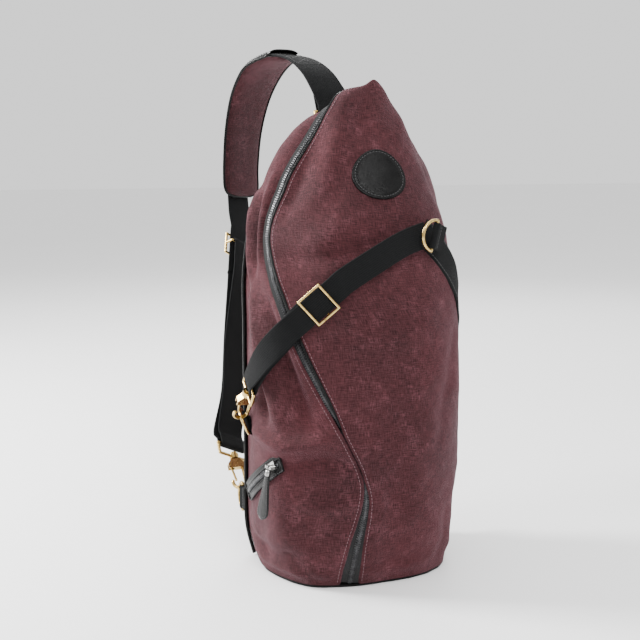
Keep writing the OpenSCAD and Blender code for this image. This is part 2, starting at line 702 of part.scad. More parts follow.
STRAP_AXIS = unit([0, 1, 1]);
strap_hold = q([-103, 70, 62]) + ring_d / 2 * STRAP_AXIS;
strap_hook_at = hook_frame(strap_hold, STRAP_AXIS, [0, 1, -1]);
eye_turn = -53;
function turned(m, a) = let(c = cos(a), s = sin(a)) [for (i = [0:2])
    [m[i][0] * c + m[i][1] * s, m[i][1] * c - m[i][0] * s, m[i][2], m[i][3]]];
strap_eye_at = turned(strap_hook_at, eye_turn);
strap_eye_side = [for (i = [0:2]) strap_eye_at[i][0]];
strap_ply = eye_wire / 2 + gap + strap_t / 2;
trim_t = 0.8;
slide_thick = strap_t + 2 * (trim_t + 0.1);

// the rectangular ring at the top: its lower and upper bars
ring_low = q([6, 80, 454]);
ring_up = unit([0, 0.5, 0.87]);
ring_rise = 11.6;
ring_x = strap_w / 2 + 1 + top_ring_wire / 2;
top_ring_at = [[1, 0, 0, ring_low.x], [0, ring_up.z, ring_up.y, ring_low.y],
    [0, -ring_up.y, ring_up.z, ring_low.z], [0, 0, 0, 1]];

pad_points = [q([-20, 175, 528]), q([-30, 212, 518]), q([-38, 243, 490]), q([-43, 262, 450]),
    q([-45, 270, 405]), q([-45, 268, 370])];
pad_widths = [[0.94, 0.34, 0], [0.9, 0.42, 0.06], [0.86, 0.5, 0.04], [0.82, 0.57, 0.02],
    [0.8, 0.6, 0], [0.8, 0.6, 0]];
pad_steps = steps(0, 5, 25);
pad_path = [for (s = pad_steps) curve(pad_points, s)];
pad_sides = [for (s = pad_steps) curve(pad_widths, s)];
pad_end = unit(pad_path[1] - pad_path[0]);
pad_top = foam_t / 2 + 0.15;
cover_steps = [0:21];

// the straight run of the strap through the slide
slide_a = q([-47, 262, 332]);
slide_b = q([-63, 221, 268]);
slide_side = [0.8, 0.52, -0.1];
strap_slide_at = slide_frame(slide_a, slide_b, slide_side, 0.36);

module strap_anchor() {
    r = top_ring_wire / 2 + gap + 0.9;
    over = [for (p = round_bar(0, 0, r, 1, 1)) into(top_ring_at, p)];
    back = BACK_Y + gap + 0.9;
    path = concat([[5, back, q([0, 0, 404]).z], [5, back, q([0, 0, 422]).z],
        [5.4, back + 2, q([0, 0, 436]).z]], over, [ring_low + [0, -7.2, -6.6]]);
    color(WEBBING) ribbon(path, [for (p = path) [1, 0, 0]], strap_w, 1.8, 0, 3);
}

module top_ring() {
    r = top_ring_wire / 2;
    color(BRASS) multmatrix(top_ring_at) {
        for (z = [0, ring_rise]) wire([-ring_x, 0, z], [ring_x, 0, z], r);
        for (s = [-1, 1]) wire([s * ring_x, 0, 0], [s * ring_x, 0, ring_rise], r);
    }
}

module upper_webbing() {
    r = top_ring_wire / 2 + gap + strap_t / 2;
    over = [for (p = round_bar(0, ring_rise, r, -1, 1, [22, 10, 4, 1.5], [1.5, 4, 9]))
        into(top_ring_at, p)];
    path = concat(over,
        [q([2, 98, 489]), q([-3, 117, 507]), q([-10, 143, 521]), pad_path[0] - 1.5 * pad_end]);
    sides = concat([for (p = over) [1, 0, 0]],
        [[1, 0.05, 0], [1, 0.14, 0], [0.97, 0.24, 0], pad_sides[0]]);
    color(WEBBING) ribbon(path, sides, strap_w, strap_t, 0, 2);
}

module pad_foam() {
    color(FOAM) ribbon(pad_path, pad_sides, pad_w - 5, foam_t, 0, 1);
}

module pad_cover() {
    color(LEATHER) ribbon([for (i = cover_steps) pad_path[i]], [for (i = cover_steps) pad_sides[i]],
        pad_w, cover_t, pad_top + cover_t / 2, 1);
}

module pad_lining() {
    color(CANVAS) ribbon(pad_path, pad_sides, pad_w, pad_lining_t,
        -pad_top - pad_lining_t / 2, 1);
}

// points of the strap's main ply, from the end of the pad's cover down to the hook's eye
low_path = concat(
    [for (s = [4.4, 4.75]) curve(pad_points, s) + (pad_top + strap_t / 2 + 0.2) * [-0.6, 0.8, 0]],
    [q([-48, 271, 352]), slide_a, each straight(slide_a, slide_b), slide_b,
     q([-77, 187, 212]), q([-91, 149, 156]), into(strap_eye_at, [-1, strap_ply + 1, eye_bar_z + 18]),
     into(strap_eye_at, [0, strap_ply, eye_bar_z + 8]),
     into(strap_eye_at, [0, strap_ply, eye_bar_z + 1.3])]);
low_sides = [[0.8, 0.6, 0], [0.8, 0.6, 0], [0.8, 0.56, -0.04], slide_side,
    each [for (i = [1:5]) slide_side], slide_side, [0.8, 0.49, -0.2], [0.8, 0.45, -0.32],
    strap_eye_side, strap_eye_side, strap_eye_side];

module lower_webbing() {
    color(WEBBING) ribbon(low_path, low_sides, strap_w, strap_t, 0, 4);
}

module webbing_trim() {
    n = len(low_path);
    color(CANVAS) ribbon([for (i = [1:n - 1]) low_path[i]], [for (i = [1:n - 1]) low_sides[i]],
        trim_w, trim_t, strap_t / 2 + trim_t / 2 + 0.1, 4);
}

module strap_slide() {
    color(BRASS) multmatrix(strap_slide_at)
        three_bar_slide(strap_w + 1.6, 28, slide_wire, slide_thick, strap_t);
}

// the ply that turns round the hook's eye and goes back to the slide's middle bar
module return_webbing() {
    bar_y = mid_bar_y(slide_wire, slide_thick, strap_t);
    r = slide_wire / 2 + gap + strap_t / 2;
    eye_end = [for (p = round_bar(0, eye_bar_z, strap_ply, -1, 1, [0.9], [1.5, 4, 9, 20]))
        into(strap_eye_at, p)];
    slide_end = [for (p = round_bar(bar_y, 0, r, 1, -1, [40, 20, 10, 5, 1.5]))
        into(strap_slide_at, p)];
    bar_dir = [for (i = [0:2]) strap_slide_at[i][0]];
    path = concat(eye_end, [q([-91, 142, 160]), q([-79, 176, 208])], slide_end);
    sides = concat([for (p = eye_end) strap_eye_side], [[0.8, 0.45, -0.32], [0.8, 0.49, -0.2]],
        [for (p = slide_end) bar_dir]);
    color(WEBBING) ribbon(path, sides, strap_w, strap_t, 0, 2);
}

module strap_hook_eye() {
    color(BRASS) multmatrix(strap_hook_at) rotate([0, 0, eye_turn]) swivel_eye(strap_w + 3);
}

module strap_hook() {
    color(BRASS) multmatrix(strap_hook_at) snap_hook();
}

module strap_hook_gate() {
    color(BRASS) multmatrix(strap_hook_at) snap_gate();
}

back_panel();
back_piping();
back_foam();
back_lining();
left_gusset();
front_flap();
flap_binding();
base_panel();
base_board();
left_padding();
front_padding();
lining();
leather_patch();
main_zip_tape();
main_zip_teeth();
main_zip_slider();
main_zip_pull();
back_zip_tape();
back_zip_teeth();
back_zip_slider();
back_zip_pull();
back_pocket_bag();
side_zip_tape();
side_zip_teeth();
side_zip_slider();
side_zip_pull();
side_pocket_bag();
front_strap();
front_return();
front_buckle();
front_hook_eye();
front_hook();
front_hook_gate();
side_strip();
front_d_tab();
front_d_ring();
left_upper_tab();
left_upper_ring();
left_lower_tab();
left_lower_ring();
right_upper_tab();
right_upper_ring();
right_lower_tab();
right_lower_ring();
strap_anchor();
top_ring();
upper_webbing();
pad_cover();
pad_foam();
pad_lining();
lower_webbing();
webbing_trim();
strap_slide();
return_webbing();
strap_hook_eye();
strap_hook();
strap_hook_gate();
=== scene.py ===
"""Looks of the sling bag: a canvas shell with folds, its zips, leather and straps, built around
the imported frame. Lengths are metres; lists of places are in millimetres and scaled by MM."""

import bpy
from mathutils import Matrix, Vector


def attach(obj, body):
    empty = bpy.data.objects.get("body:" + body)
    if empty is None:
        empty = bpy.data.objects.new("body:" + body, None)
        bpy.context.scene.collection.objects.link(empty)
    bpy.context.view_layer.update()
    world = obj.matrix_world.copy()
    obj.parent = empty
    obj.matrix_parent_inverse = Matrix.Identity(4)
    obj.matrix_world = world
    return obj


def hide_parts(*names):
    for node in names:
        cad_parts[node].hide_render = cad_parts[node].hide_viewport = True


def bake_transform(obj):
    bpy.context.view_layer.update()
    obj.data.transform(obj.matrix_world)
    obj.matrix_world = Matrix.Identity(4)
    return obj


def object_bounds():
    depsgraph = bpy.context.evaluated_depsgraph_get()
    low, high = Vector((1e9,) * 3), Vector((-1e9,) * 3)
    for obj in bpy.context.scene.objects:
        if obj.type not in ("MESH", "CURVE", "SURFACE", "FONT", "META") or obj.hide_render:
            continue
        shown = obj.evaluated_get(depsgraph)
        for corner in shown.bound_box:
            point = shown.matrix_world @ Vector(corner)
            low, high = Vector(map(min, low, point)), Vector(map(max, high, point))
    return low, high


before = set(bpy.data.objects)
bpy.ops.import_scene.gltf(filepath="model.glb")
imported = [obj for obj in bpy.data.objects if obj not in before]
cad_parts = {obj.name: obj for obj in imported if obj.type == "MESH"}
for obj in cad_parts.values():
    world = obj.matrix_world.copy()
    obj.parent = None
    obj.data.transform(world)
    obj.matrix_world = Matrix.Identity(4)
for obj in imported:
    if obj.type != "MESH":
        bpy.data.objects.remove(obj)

import copy
import math

import bmesh
import bpy
import numpy as np
from mathutils import Matrix, Vector

cad_low, cad_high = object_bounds()
MM = 0.001

# ---------- sizes shared with the CAD model ----------

GAP = 0.3 * MM
TAB_W, TAB_T = 25 * MM, 2 * MM
STRAP_W, STRAP_T = 38 * MM, 2 * MM
TRIM_W, TRIM_T = 19 * MM, 0.8 * MM
PAD_W, FOAM_T = 66 * MM, 8 * MM
RING_WIRE, RING_D = 3.2 * MM, 29.2 * MM
EYE_WIRE, EYE_BAR_Z = 3.4 * MM, 46 * MM
BUCKLE_WIRE, SLIDE_WIRE, TOP_RING_WIRE = 2.4 * MM, 3.2 * MM, 3.5 * MM
TEETH_T = 2.15 * MM
PULL_Y = TEETH_T + 1.3 * MM + 2 * GAP + 2.1 * MM
SEAM_Y, BACK_Y = 57 * MM, 61.2 * MM
BACK_ZIP_LEN, SIDE_ZIP_LEN = 142 * MM, 76 * MM
PATCH_R = 26 * MM

# the control net of the body's outer skin: rows from the base up, each from the left side seam
# round the front to the right side seam, with its fourth point on the main zip
NET = MM * np.array([
    [[-92, 57, 3], [-94, 10, 3], [-70, -38, 3], [-29, -54, 3], [5, -56, 3],
     [50, -52, 3], [84, -30, 3], [94, 10, 3], [92, 57, 3]],
    [[-100, 57, 40], [-103, 12, 40], [-86, -38, 40], [-26, -62, 38], [8, -64, 40],
     [52, -60, 40], [90, -34, 40], [104, 10, 40], [100, 57, 40]],
    [[-100, 57, 100], [-105, 10, 100], [-88, -36, 100], [-18, -66, 100], [14, -67, 100],
     [56, -62, 100], [92, -36, 100], [105, 10, 100], [100, 57, 100]],
    [[-100, 57, 165], [-105, 12, 165], [-90, -32, 165], [-43, -62, 163], [0, -68, 165],
     [52, -64, 165], [91, -37, 165], [105, 10, 165], [100, 57, 165]],
    [[-100, 57, 245], [-103, 30, 245], [-98, -5, 245], [-79, -40, 245], [-20, -64, 245],
     [45, -62, 245], [88, -36, 245], [104, 12, 245], [100, 57, 245]],
    [[-99, 57, 310], [-101, 42, 322], [-99, 24, 328], [-91, 9, 331], [-50, -45, 325],
     [20, -56, 320], [80, -34, 315], [102, 15, 312], [99, 57, 310]],
    [[-86, 57, 372], [-86, 44, 380], [-84, 28, 384], [-76, 14, 385], [-38, -22, 385],
     [15, -38, 380], [70, -24, 372], [95, 20, 366], [94, 57, 365]],
    [[-50, 57, 424], [-52, 46, 434], [-50, 32, 440], [-42, 20, 438], [-15, -2, 440],
     [20, -12, 435], [60, -5, 420], [84, 25, 405], [82, 57, 400]],
    [[-15, 57, 439], [-18, 48, 452], [-20, 36, 462], [-18, 24, 466], [5, 12, 478],
     [28, 14, 480], [52, 18, 455], [70, 35, 430], [70, 57, 418]],
    [[20, 57, 440], [16, 52, 450], [10, 42, 460], [8, 34, 468], [20, 26, 484],
     [28, 25, 490], [44, 30, 470], [58, 42, 445], [60, 57, 428]],
    [[54, 57, 431], [54, 54, 434], [55, 51, 437], [56, 48, 440], [58, 49, 441],
     [60, 50, 440], [60, 52, 437], [60, 54, 434], [59, 57, 430]]], float)
ROWS, COLUMNS = NET.shape[:2]
ZIP_U, SEAM_U, TOP_V = 3, 8, 9.9

# ---------- points, frames and curves ----------


def mm(*point):
    return MM * np.array(point, float)


def unit(v):
    v = np.asarray(v, float)
    return v / np.linalg.norm(v, axis=-1, keepdims=True)


def smooth(low, high, x):
    """0 below low, 1 above high and an even turn between."""
    t = np.clip((np.asarray(x, float) - low) / (high - low), 0, 1)
    return t * t * (3 - 2 * t)


def bump_at(centre, half, x):
    """1 at centre, falling to 0 a few halves away."""
    return np.exp(-((np.asarray(x, float) - centre) / half) ** 2)


def axes(p, ex, ey, ez):
    m = np.eye(4)
    m[:3, 0], m[:3, 1], m[:3, 2], m[:3, 3] = ex, ey, ez, p
    return m


def frame_at(p, x, y):
    """Local X along x, and local Y as near to y as it goes."""
    ex = unit(x)
    ez = unit(np.cross(ex, y))
    return axes(p, ex, np.cross(ez, ex), ez)


def hook_frame(p, axis, wire_dir):
    """Local Z along the hook, local X along the wire that it holds."""
    ez = unit(axis)
    ey = unit(np.cross(ez, wire_dir))
    return axes(p, np.cross(ey, ez), ey, ez)


def slide_frame(a, b, side, t):
    """Local X across the strap, local Z back to a."""
    ez = unit(a - b)
    side = np.asarray(side, float)
    ex = unit(side - (side @ ez) * ez)
    return axes(a * (1 - t) + b * t, ex, np.cross(ez, ex), ez)


def turn(axis, degrees):
    return np.array(Matrix.Rotation(math.radians(degrees), 4, axis))


def shift(*point):
    return np.array(Matrix.Translation(point))


def into(m, points):
    return np.asarray(points, float) @ m[:3, :3].T + m[:3, 3]


def knots(s, count):
    """Which four of count control points shape a smooth curve at s, and their weights."""
    s = np.asarray(s, float)
    i = np.clip(np.floor(s), 0, count - 2).astype(int)
    t = s - i
    weights = (2 * t**2 - t - t**3, 2 - 5 * t**2 + 3 * t**3, t + 4 * t**2 - 3 * t**3, t**3 - t**2)
    return [(np.clip(i + k - 1, 0, count - 1), w[..., None] / 2) for k, w in enumerate(weights)]


def spline(points, s):
    points = np.asarray(points, float)
    return sum(w * points[i] for i, w in knots(s, len(points)))


def surf(u, v):
    """Points of the CAD body's outer surface."""
    return sum(wu * wv * NET[i, j] for i, wv in knots(v, ROWS) for j, wu in knots(u, COLUMNS))


def outward(u, v):
    across = surf(u + 0.03, v) - surf(u - 0.03, v)
    upward = surf(u, np.minimum(v + 0.03, TOP_V)) - surf(u, np.minimum(v, TOP_V - 0.05) - 0.03)
    return unit(np.cross(across, upward))


def beside_zip(v, offset):
    """The u that lies offset metres from the main zip, along the surface."""
    step = 0.03
    chord = surf(ZIP_U + step + 0 * v, v) - surf(ZIP_U - step + 0 * v, v)
    return ZIP_U + offset / (np.linalg.norm(chord, axis=-1) / (2 * step))


def waves(p, length, seed, count=7):
    """Smooth random waves of about one length through the points p, from -1 to 1."""
    rng = np.random.default_rng(seed)
    total = 0
    for _ in range(count):
        direction = unit(rng.normal(size=3))
        scale = 2 * math.pi / length * rng.uniform(0.7, 1.4)
        total = total + np.sin(p @ direction * scale + rng.uniform(0, 2 * math.pi))
    return total / math.sqrt(count) / 1.6


# ---------- how the canvas swells and folds ----------

SIDE_ARC_R = 150 * MM
SIDE_MID = mm(-106, -2.5, 104)

# each fold: the [u, v] points that it runs through, its half width and its height, in mm. A
# negative height is a valley. The gusset's folds hang from under the front strap.
FOLDS = [
    ([[1.4, 4.5], [1.75, 3.7], [1.9, 3.0]], 9, 10),
    ([[2.3, 4.4], [2.45, 3.7], [2.5, 3.1]], 8, -11),
    ([[1.0, 4.3], [1.35, 3.6], [1.5, 2.95]], 7, -6),
    ([[0.75, 5.6], [1.0, 6.5], [1.2, 7.4], [1.5, 8.3]], 24, 8),
    ([[0.9, 2.8], [1.6, 2.7], [2.3, 2.75], [2.9, 2.95]], 8, 8),
    ([[1.3, 2.4], [2.0, 2.35], [2.6, 2.5], [3.0, 2.3]], 8, -7),
    ([[2.0, 1.9], [2.5, 1.75], [2.95, 1.8]], 7, 4.4),
    ([[0.5, 6.1], [0.9, 5.4], [1.2, 4.7]], 6, 6),
    ([[1.4, 6.0], [1.6, 5.4], [1.7, 4.7]], 5, -6),
    ([[2.1, 6.3], [2.2, 5.6], [2.2, 4.8]], 5, 5),
    ([[0.2, 5.2], [0.6, 4.7], [1.0, 4.3]], 6, -4),
    ([[0.4, 0.95], [1.2, 0.8], [2.2, 0.9]], 7, -3.6),
    ([[0.5, 0.4], [1.4, 0.45], [2.6, 0.4]], 7, 3.6),
    ([[1.9, 0.9], [2.2, 0.4], [2.3, 0.1]], 6, -2.6),
    ([[3.7, 8.3], [3.7, 7.4], [3.85, 6.5], [3.7, 5.7]], 13, 6.5),
    ([[4.3, 8.2], [4.25, 7.4], [4.35, 7.0]], 9, -4),
    ([[3.35, 6.6], [3.4, 6.1], [3.35, 5.5]], 7, -2.4),
    ([[5.9, 8.2], [5.7, 7.6], [5.4, 7.1]], 9, 2.6),
    ([[6.2, 7.4], [6.3, 6.8], [6.3, 6.2]], 9, -2.4),
    ([[7.0, 7.6], [7.0, 6.8], [7.1, 6.0]], 9, 2.8),
    ([[3.3, 4.9], [4.0, 5.0], [4.8, 5.3]], 9, -4),
    ([[3.6, 4.1], [4.4, 4.0], [5.2, 4.3]], 16, 3.6),
    ([[5.9, 4.2], [5.4, 3.4], [5.2, 2.6]], 10, -2.4),
    ([[6.6, 3.3], [6.3, 2.5], [6.4, 1.8]], 10, 2.6),
    ([[4.3, 2.9], [4.5, 2.1], [4.4, 1.4]], 13, 2.6),
    ([[3.4, 2.2], [3.9, 1.8], [4.6, 1.7]], 8, -2),
    ([[5.6, 1.4], [5.7, 0.9], [5.5, 0.4]], 9, -2.6),
    ([[6.8, 1.3], [7.2, 0.9], [7.6, 0.8]], 7, -3),
    ([[6.1, 0.6], [6.9, 0.45], [7.7, 0.4]], 7, 2.6),
    ([[3.3, 0.5], [4.2, 0.42], [5.2, 0.5]], 7, 1.8),
]
FOLD_STEPS = 20


def fold_heights(p):
    """How far every fold lifts the points p. A fold fades a few half widths away from its line."""
    flat = p.reshape(-1, 3)
    total = np.zeros(len(flat))
    for route, half, height in FOLDS:
        s = np.linspace(0, len(route) - 1, FOLD_STEPS)
        uv = spline(np.array(route, float), s)
        line = surf(uv[:, 0], uv[:, 1])
        reach = 3 * half * MM
        near = np.flatnonzero(((flat > line.min(0) - reach) & (flat < line.max(0) + reach)).all(1))
        start, step = line[:-1], np.diff(line, axis=0)
        from_start = flat[near][:, None] - start
        t = np.clip((from_start * step).sum(-1) / (step * step).sum(-1), 0, 1)
        away = np.linalg.norm(from_start - t[..., None] * step, axis=-1)
        along = (np.arange(FOLD_STEPS - 1) + t) / (FOLD_STEPS - 1)
        strength = np.sin(np.pi * (0.04 + 0.92 * along)) ** 0.6
        total[near] += height * MM * (strength * np.exp(-(away / (half * MM)) ** 2)).max(1)
    return total.reshape(p.shape[:-1])


def swell(u, v):
    """How far the canvas stands off the CAD surface."""
    u, v = np.broadcast_arrays(np.asarray(u, float), np.asarray(v, float))
    p = surf(u, v)
    body = 2.2 * MM * waves(p, 0.16, 3) + 1.1 * MM * waves(p, 0.055, 5) + 0.35 * MM * waves(p, 0.02, 8)
    belly = 3.5 * MM * bump_at(5, 1.6, u) * bump_at(4.3, 1.8, v)
    calm = smooth(0, 0.35, u) * smooth(0, 0.35, SEAM_U - u) * smooth(-0.1, 0.5, v) * smooth(0, 1, 9.4 - v)
    at_patch = 1 - 0.75 * bump_at(4.85, 0.5, u) * bump_at(6.35, 0.55, v)
    side_zip = np.linalg.norm((p - SIDE_MID) * [1, 1, 1.2], axis=-1)
    at_side_zip = smooth(0.03, 0.055, side_zip)
    return (body + belly + fold_heights(p)) * calm * at_patch * at_side_zip


def skin(u, v, h=0.0):
    """Points h above the folded canvas."""
    h = np.asarray(h, float)
    return surf(u, v) + (swell(u, v) + h)[..., None] * outward(u, v)


# ---------- meshes ----------


def mesh_object(name, points, faces, material, cloth=None, sharp=None):
    """A smooth-shaded mesh. cloth gives each point its place on the flat cloth, in metres."""
    mesh = bpy.data.meshes.new(name)
    mesh.from_pydata([tuple(p) for p in np.asarray(points, float)], [], [tuple(f) for f in faces])
    mesh.validate()
    mesh.update()
    if cloth is not None:
        layer = mesh.attributes.new("cloth", "FLOAT_VECTOR", "POINT")
        layer.data.foreach_set("vector", np.asarray(cloth, np.float32).ravel())
    mesh.shade_smooth()
    if sharp:
        mesh.set_sharp_from_angle(angle=math.radians(sharp))
    piece = bpy.data.objects.new(name, mesh)
    bpy.context.scene.collection.objects.link(piece)
    mesh.materials.append(material)
    return piece


def solid(name, points, faces, material, cloth=None, sharp=None):
    """A mesh object of closed solids, with every face turned outward."""
    piece = mesh_object(name, points, faces, material, cloth, sharp)
    bm = bmesh.new()
    bm.from_mesh(piece.data)
    bmesh.ops.recalc_face_normals(bm, faces=bm.faces)
    bm.to_mesh(piece.data)
    bm.free()
    return piece


def grid_faces(n, m, start=0, closed=False):
    last = m if closed else m - 1
    return [(start + i * m + j, start + i * m + (j + 1) % m,
             start + (i + 1) * m + (j + 1) % m, start + (i + 1) * m + j)
            for i in range(n - 1) for j in range(last)]


def ring_faces(n, m):
    """Faces round a stack of n rings of m points each, with both ends capped."""
    faces = grid_faces(n, m, closed=True)
    return faces + [tuple(range(m))[::-1], tuple((n - 1) * m + k for k in range(m))]


def lengths(grid, axis):
    """How far each point of a grid lies along one of its directions, in metres."""
    steps = np.linalg.norm(np.diff(grid, axis=axis), axis=-1)
    pad = [(0, 0), (0, 0)]
    pad[axis] = (1, 0)
    return np.cumsum(np.pad(steps, pad), axis=axis)


def flat_places(grid):
    """Places on the flat cloth for the points of a grid."""
    along = lengths(grid, 0).mean(1, keepdims=True) + 0 * grid[..., 0]
    across = lengths(grid, 1)
    across = across - across.mean(1, keepdims=True)
    return np.stack([across, along, 0 * along], -1)


def sheet(name, grid, thick, material, flip=False):
    """A closed sheet from a grid of points, its thickness below the side that faces out."""
    n, m = grid.shape[:2]
    normal = np.cross(np.gradient(grid, axis=1), np.gradient(grid, axis=0))
    normal = unit(normal) * (-1 if flip else 1)
    below = grid - thick * normal
    faces = grid_faces(n, m) + [f[::-1] for f in grid_faces(n, m, n * m)]
    rim = ([i * m for i in range(n)] + [(n - 1) * m + j for j in range(1, m)]
           + [i * m + m - 1 for i in range(n - 2, -1, -1)] + [j for j in range(m - 2, 0, -1)])
    k = n * m
    faces += [(a, b, b + k, a + k) for a, b in zip(rim, rim[1:] + rim[:1])]
    places = flat_places(grid).reshape(-1, 3)
    return solid(name, np.concatenate([grid.reshape(-1, 3), below.reshape(-1, 3)]), faces,
                 material, np.concatenate([places, places]), sharp=60)


class Run:
    """A strap's centre line: its points, and the directions along, across and out of it."""

    def __init__(self, path, sides, step=2.5 * MM, lift=0.0):
        path = np.asarray(path, float)
        sides = np.asarray(sides, float)
        rough = spline(path, np.linspace(0, len(path) - 1, 40 * len(path)))
        walked = np.concatenate([[0], np.cumsum(np.linalg.norm(np.diff(rough, axis=0), axis=1))])
        count = max(3, int(walked[-1] / step))
        s = np.interp(np.linspace(0, walked[-1], count + 1), walked,
                      np.linspace(0, len(path) - 1, 40 * len(path)))
        ahead = spline(path, np.minimum(s + 0.02, len(path) - 1))
        behind = spline(path, np.maximum(s - 0.02, 0))
        self.s = s
        self.along = unit(ahead - behind)
        side = spline(sides, s)
        self.across = unit(side - (side * self.along).sum(1)[:, None] * self.along)
        self.out = np.cross(self.across, self.along)
        self.points = spline(path, s) + lift * self.out
        self.far = np.linspace(0, walked[-1], count + 1)

    def part(self, keep):
        """The stretch of the run where keep is true."""
        stretch = copy.copy(self)
        for field in ("s", "along", "across", "out", "points", "far"):
            setattr(stretch, field, getattr(self, field)[keep])
        return stretch

    def line(self, across=0.0, out=0.0):
        """Points beside the centre line."""
        across = np.broadcast_to(across, len(self.points))[:, None]
        out = np.broadcast_to(out, len(self.points))[:, None]
        return self.points + across * self.across + out * self.out


def swept(name, run, section, material):
    """A closed solid: each ring holds the section's (across, out) points. section(i) gives them."""
    rings = [np.asarray(section(i), float) for i in range(len(run.points))]
    m = len(rings[0])
    points, places = [], []
    for i, ring in enumerate(rings):
        points += list(run.points[i] + ring[:, :1] * run.across[i] + ring[:, 1:] * run.out[i])
        places += [(a, run.far[i], b) for a, b in ring]
    return solid(name, points, ring_faces(len(rings), m), material, places, sharp=60)


def stadium(width, thick, flat=6, turns=4):
    """The outline of a band's cut end, with round edges."""
    r = thick / 2
    x = np.linspace(-width / 2 + r, width / 2 - r, flat)
    top = [(a, r) for a in x]
    side = [(width / 2 - r + r * math.sin(t), r * math.cos(t))
            for t in np.linspace(0, math.pi, turns + 1)[1:-1]]
    bottom = [(a, -r) for a in x[::-1]]
    return top + side + bottom + [(-a, -b) for a, b in side]


def webbing(name, run, width, thick, material):
    """A flat band with round edges along a run."""
    outline = stadium(width, thick)
    return swept(name, run, lambda i: outline, material)


def tube(name, path, radius, material, sides=10, closed=False):
    """A round tube whose radius may change along it."""
    path = np.asarray(path, float)
    n = len(path)
    radius = np.broadcast_to(radius, n)
    nxt, prv = np.roll(path, -1, 0), np.roll(path, 1, 0)
    if not closed:
        nxt[-1], prv[0] = path[-1], path[0]
    along = unit(nxt - prv)
    far = np.concatenate([[0], np.cumsum(np.linalg.norm(np.diff(path, axis=0), axis=1))])
    w = unit(np.cross(along[0], [0.3, 1, 0.1]))
    points, places = [], []
    angles = np.linspace(0, 2 * math.pi, sides, endpoint=False)
    for i in range(n):
        w = unit(w - (w @ along[i]) * along[i])
        h = np.cross(along[i], w)
        points += [path[i] + radius[i] * (math.cos(a) * w + math.sin(a) * h) for a in angles]
        places += [(a * radius[i], far[i], 0) for a in angles]
    if closed:
        last = (n - 1) * sides
        faces = grid_faces(n, sides, closed=True)
        faces += [(last + k, last + (k + 1) % sides, (k + 1) % sides, k) for k in range(sides)]
    else:
        faces = ring_faces(n, sides)
    return solid(name, points, faces, material, places)


def copies(name, frames, template, faces, material):
    """One mesh of many copies of a small solid, placed by frames (n, 4, 4)."""
    k = len(template)
    points = np.concatenate([into(m, template) for m in frames])
    all_faces = [tuple(i * k + c for c in f) for i in range(len(frames)) for f in faces]
    return solid(name, points, all_faces, material, points, sharp=50)


def evenly(points, pitch, *others):
    """The same line, and others beside it, cut to an even pitch."""
    points = np.asarray(points, float)
    walked = np.concatenate([[0], np.cumsum(np.linalg.norm(np.diff(points, axis=0), axis=1))])
    count = max(2, int(walked[-1] / pitch))
    at = (np.arange(count) + 0.5) * walked[-1] / count
    return [np.stack([np.interp(at, walked, np.asarray(line)[:, k]) for k in range(3)], 1)
            for line in (points, *others)]


def spool(radii, sides=6):
    """A round solid along X from a list of (x, radius), and its faces."""
    angles = np.linspace(0, 2 * math.pi, sides, endpoint=False)
    points = [(x, r * math.cos(a), r * math.sin(a)) for x, r in radii for a in angles]
    return np.array(points), ring_faces(len(radii), sides)


def stitches(name, line, out, material, pitch=4 * MM, thread=0.42 * MM, lift=0.15 * MM):
    """A row of stitches along a line, each a short round thread that dips at its ends."""
    points, ups = evenly(line, pitch, out)
    along = unit(np.gradient(points, axis=0))
    half = pitch * 0.36
    template, faces = spool([(-half, 0.25 * thread), (-0.8 * half, 0.8 * thread), (0, thread),
                             (0.8 * half, 0.8 * thread), (half, 0.25 * thread)])
    template[:, 2] -= 0.5 * thread * (np.abs(template[:, 0]) / half) ** 2
    frames = []
    for p, t, up in zip(points, along, ups):
        side = unit(np.cross(up, t))
        frames.append(axes(p + lift * up, t, side, np.cross(t, side)))
    return copies(name, frames, template, faces, material)


# ---------- materials ----------


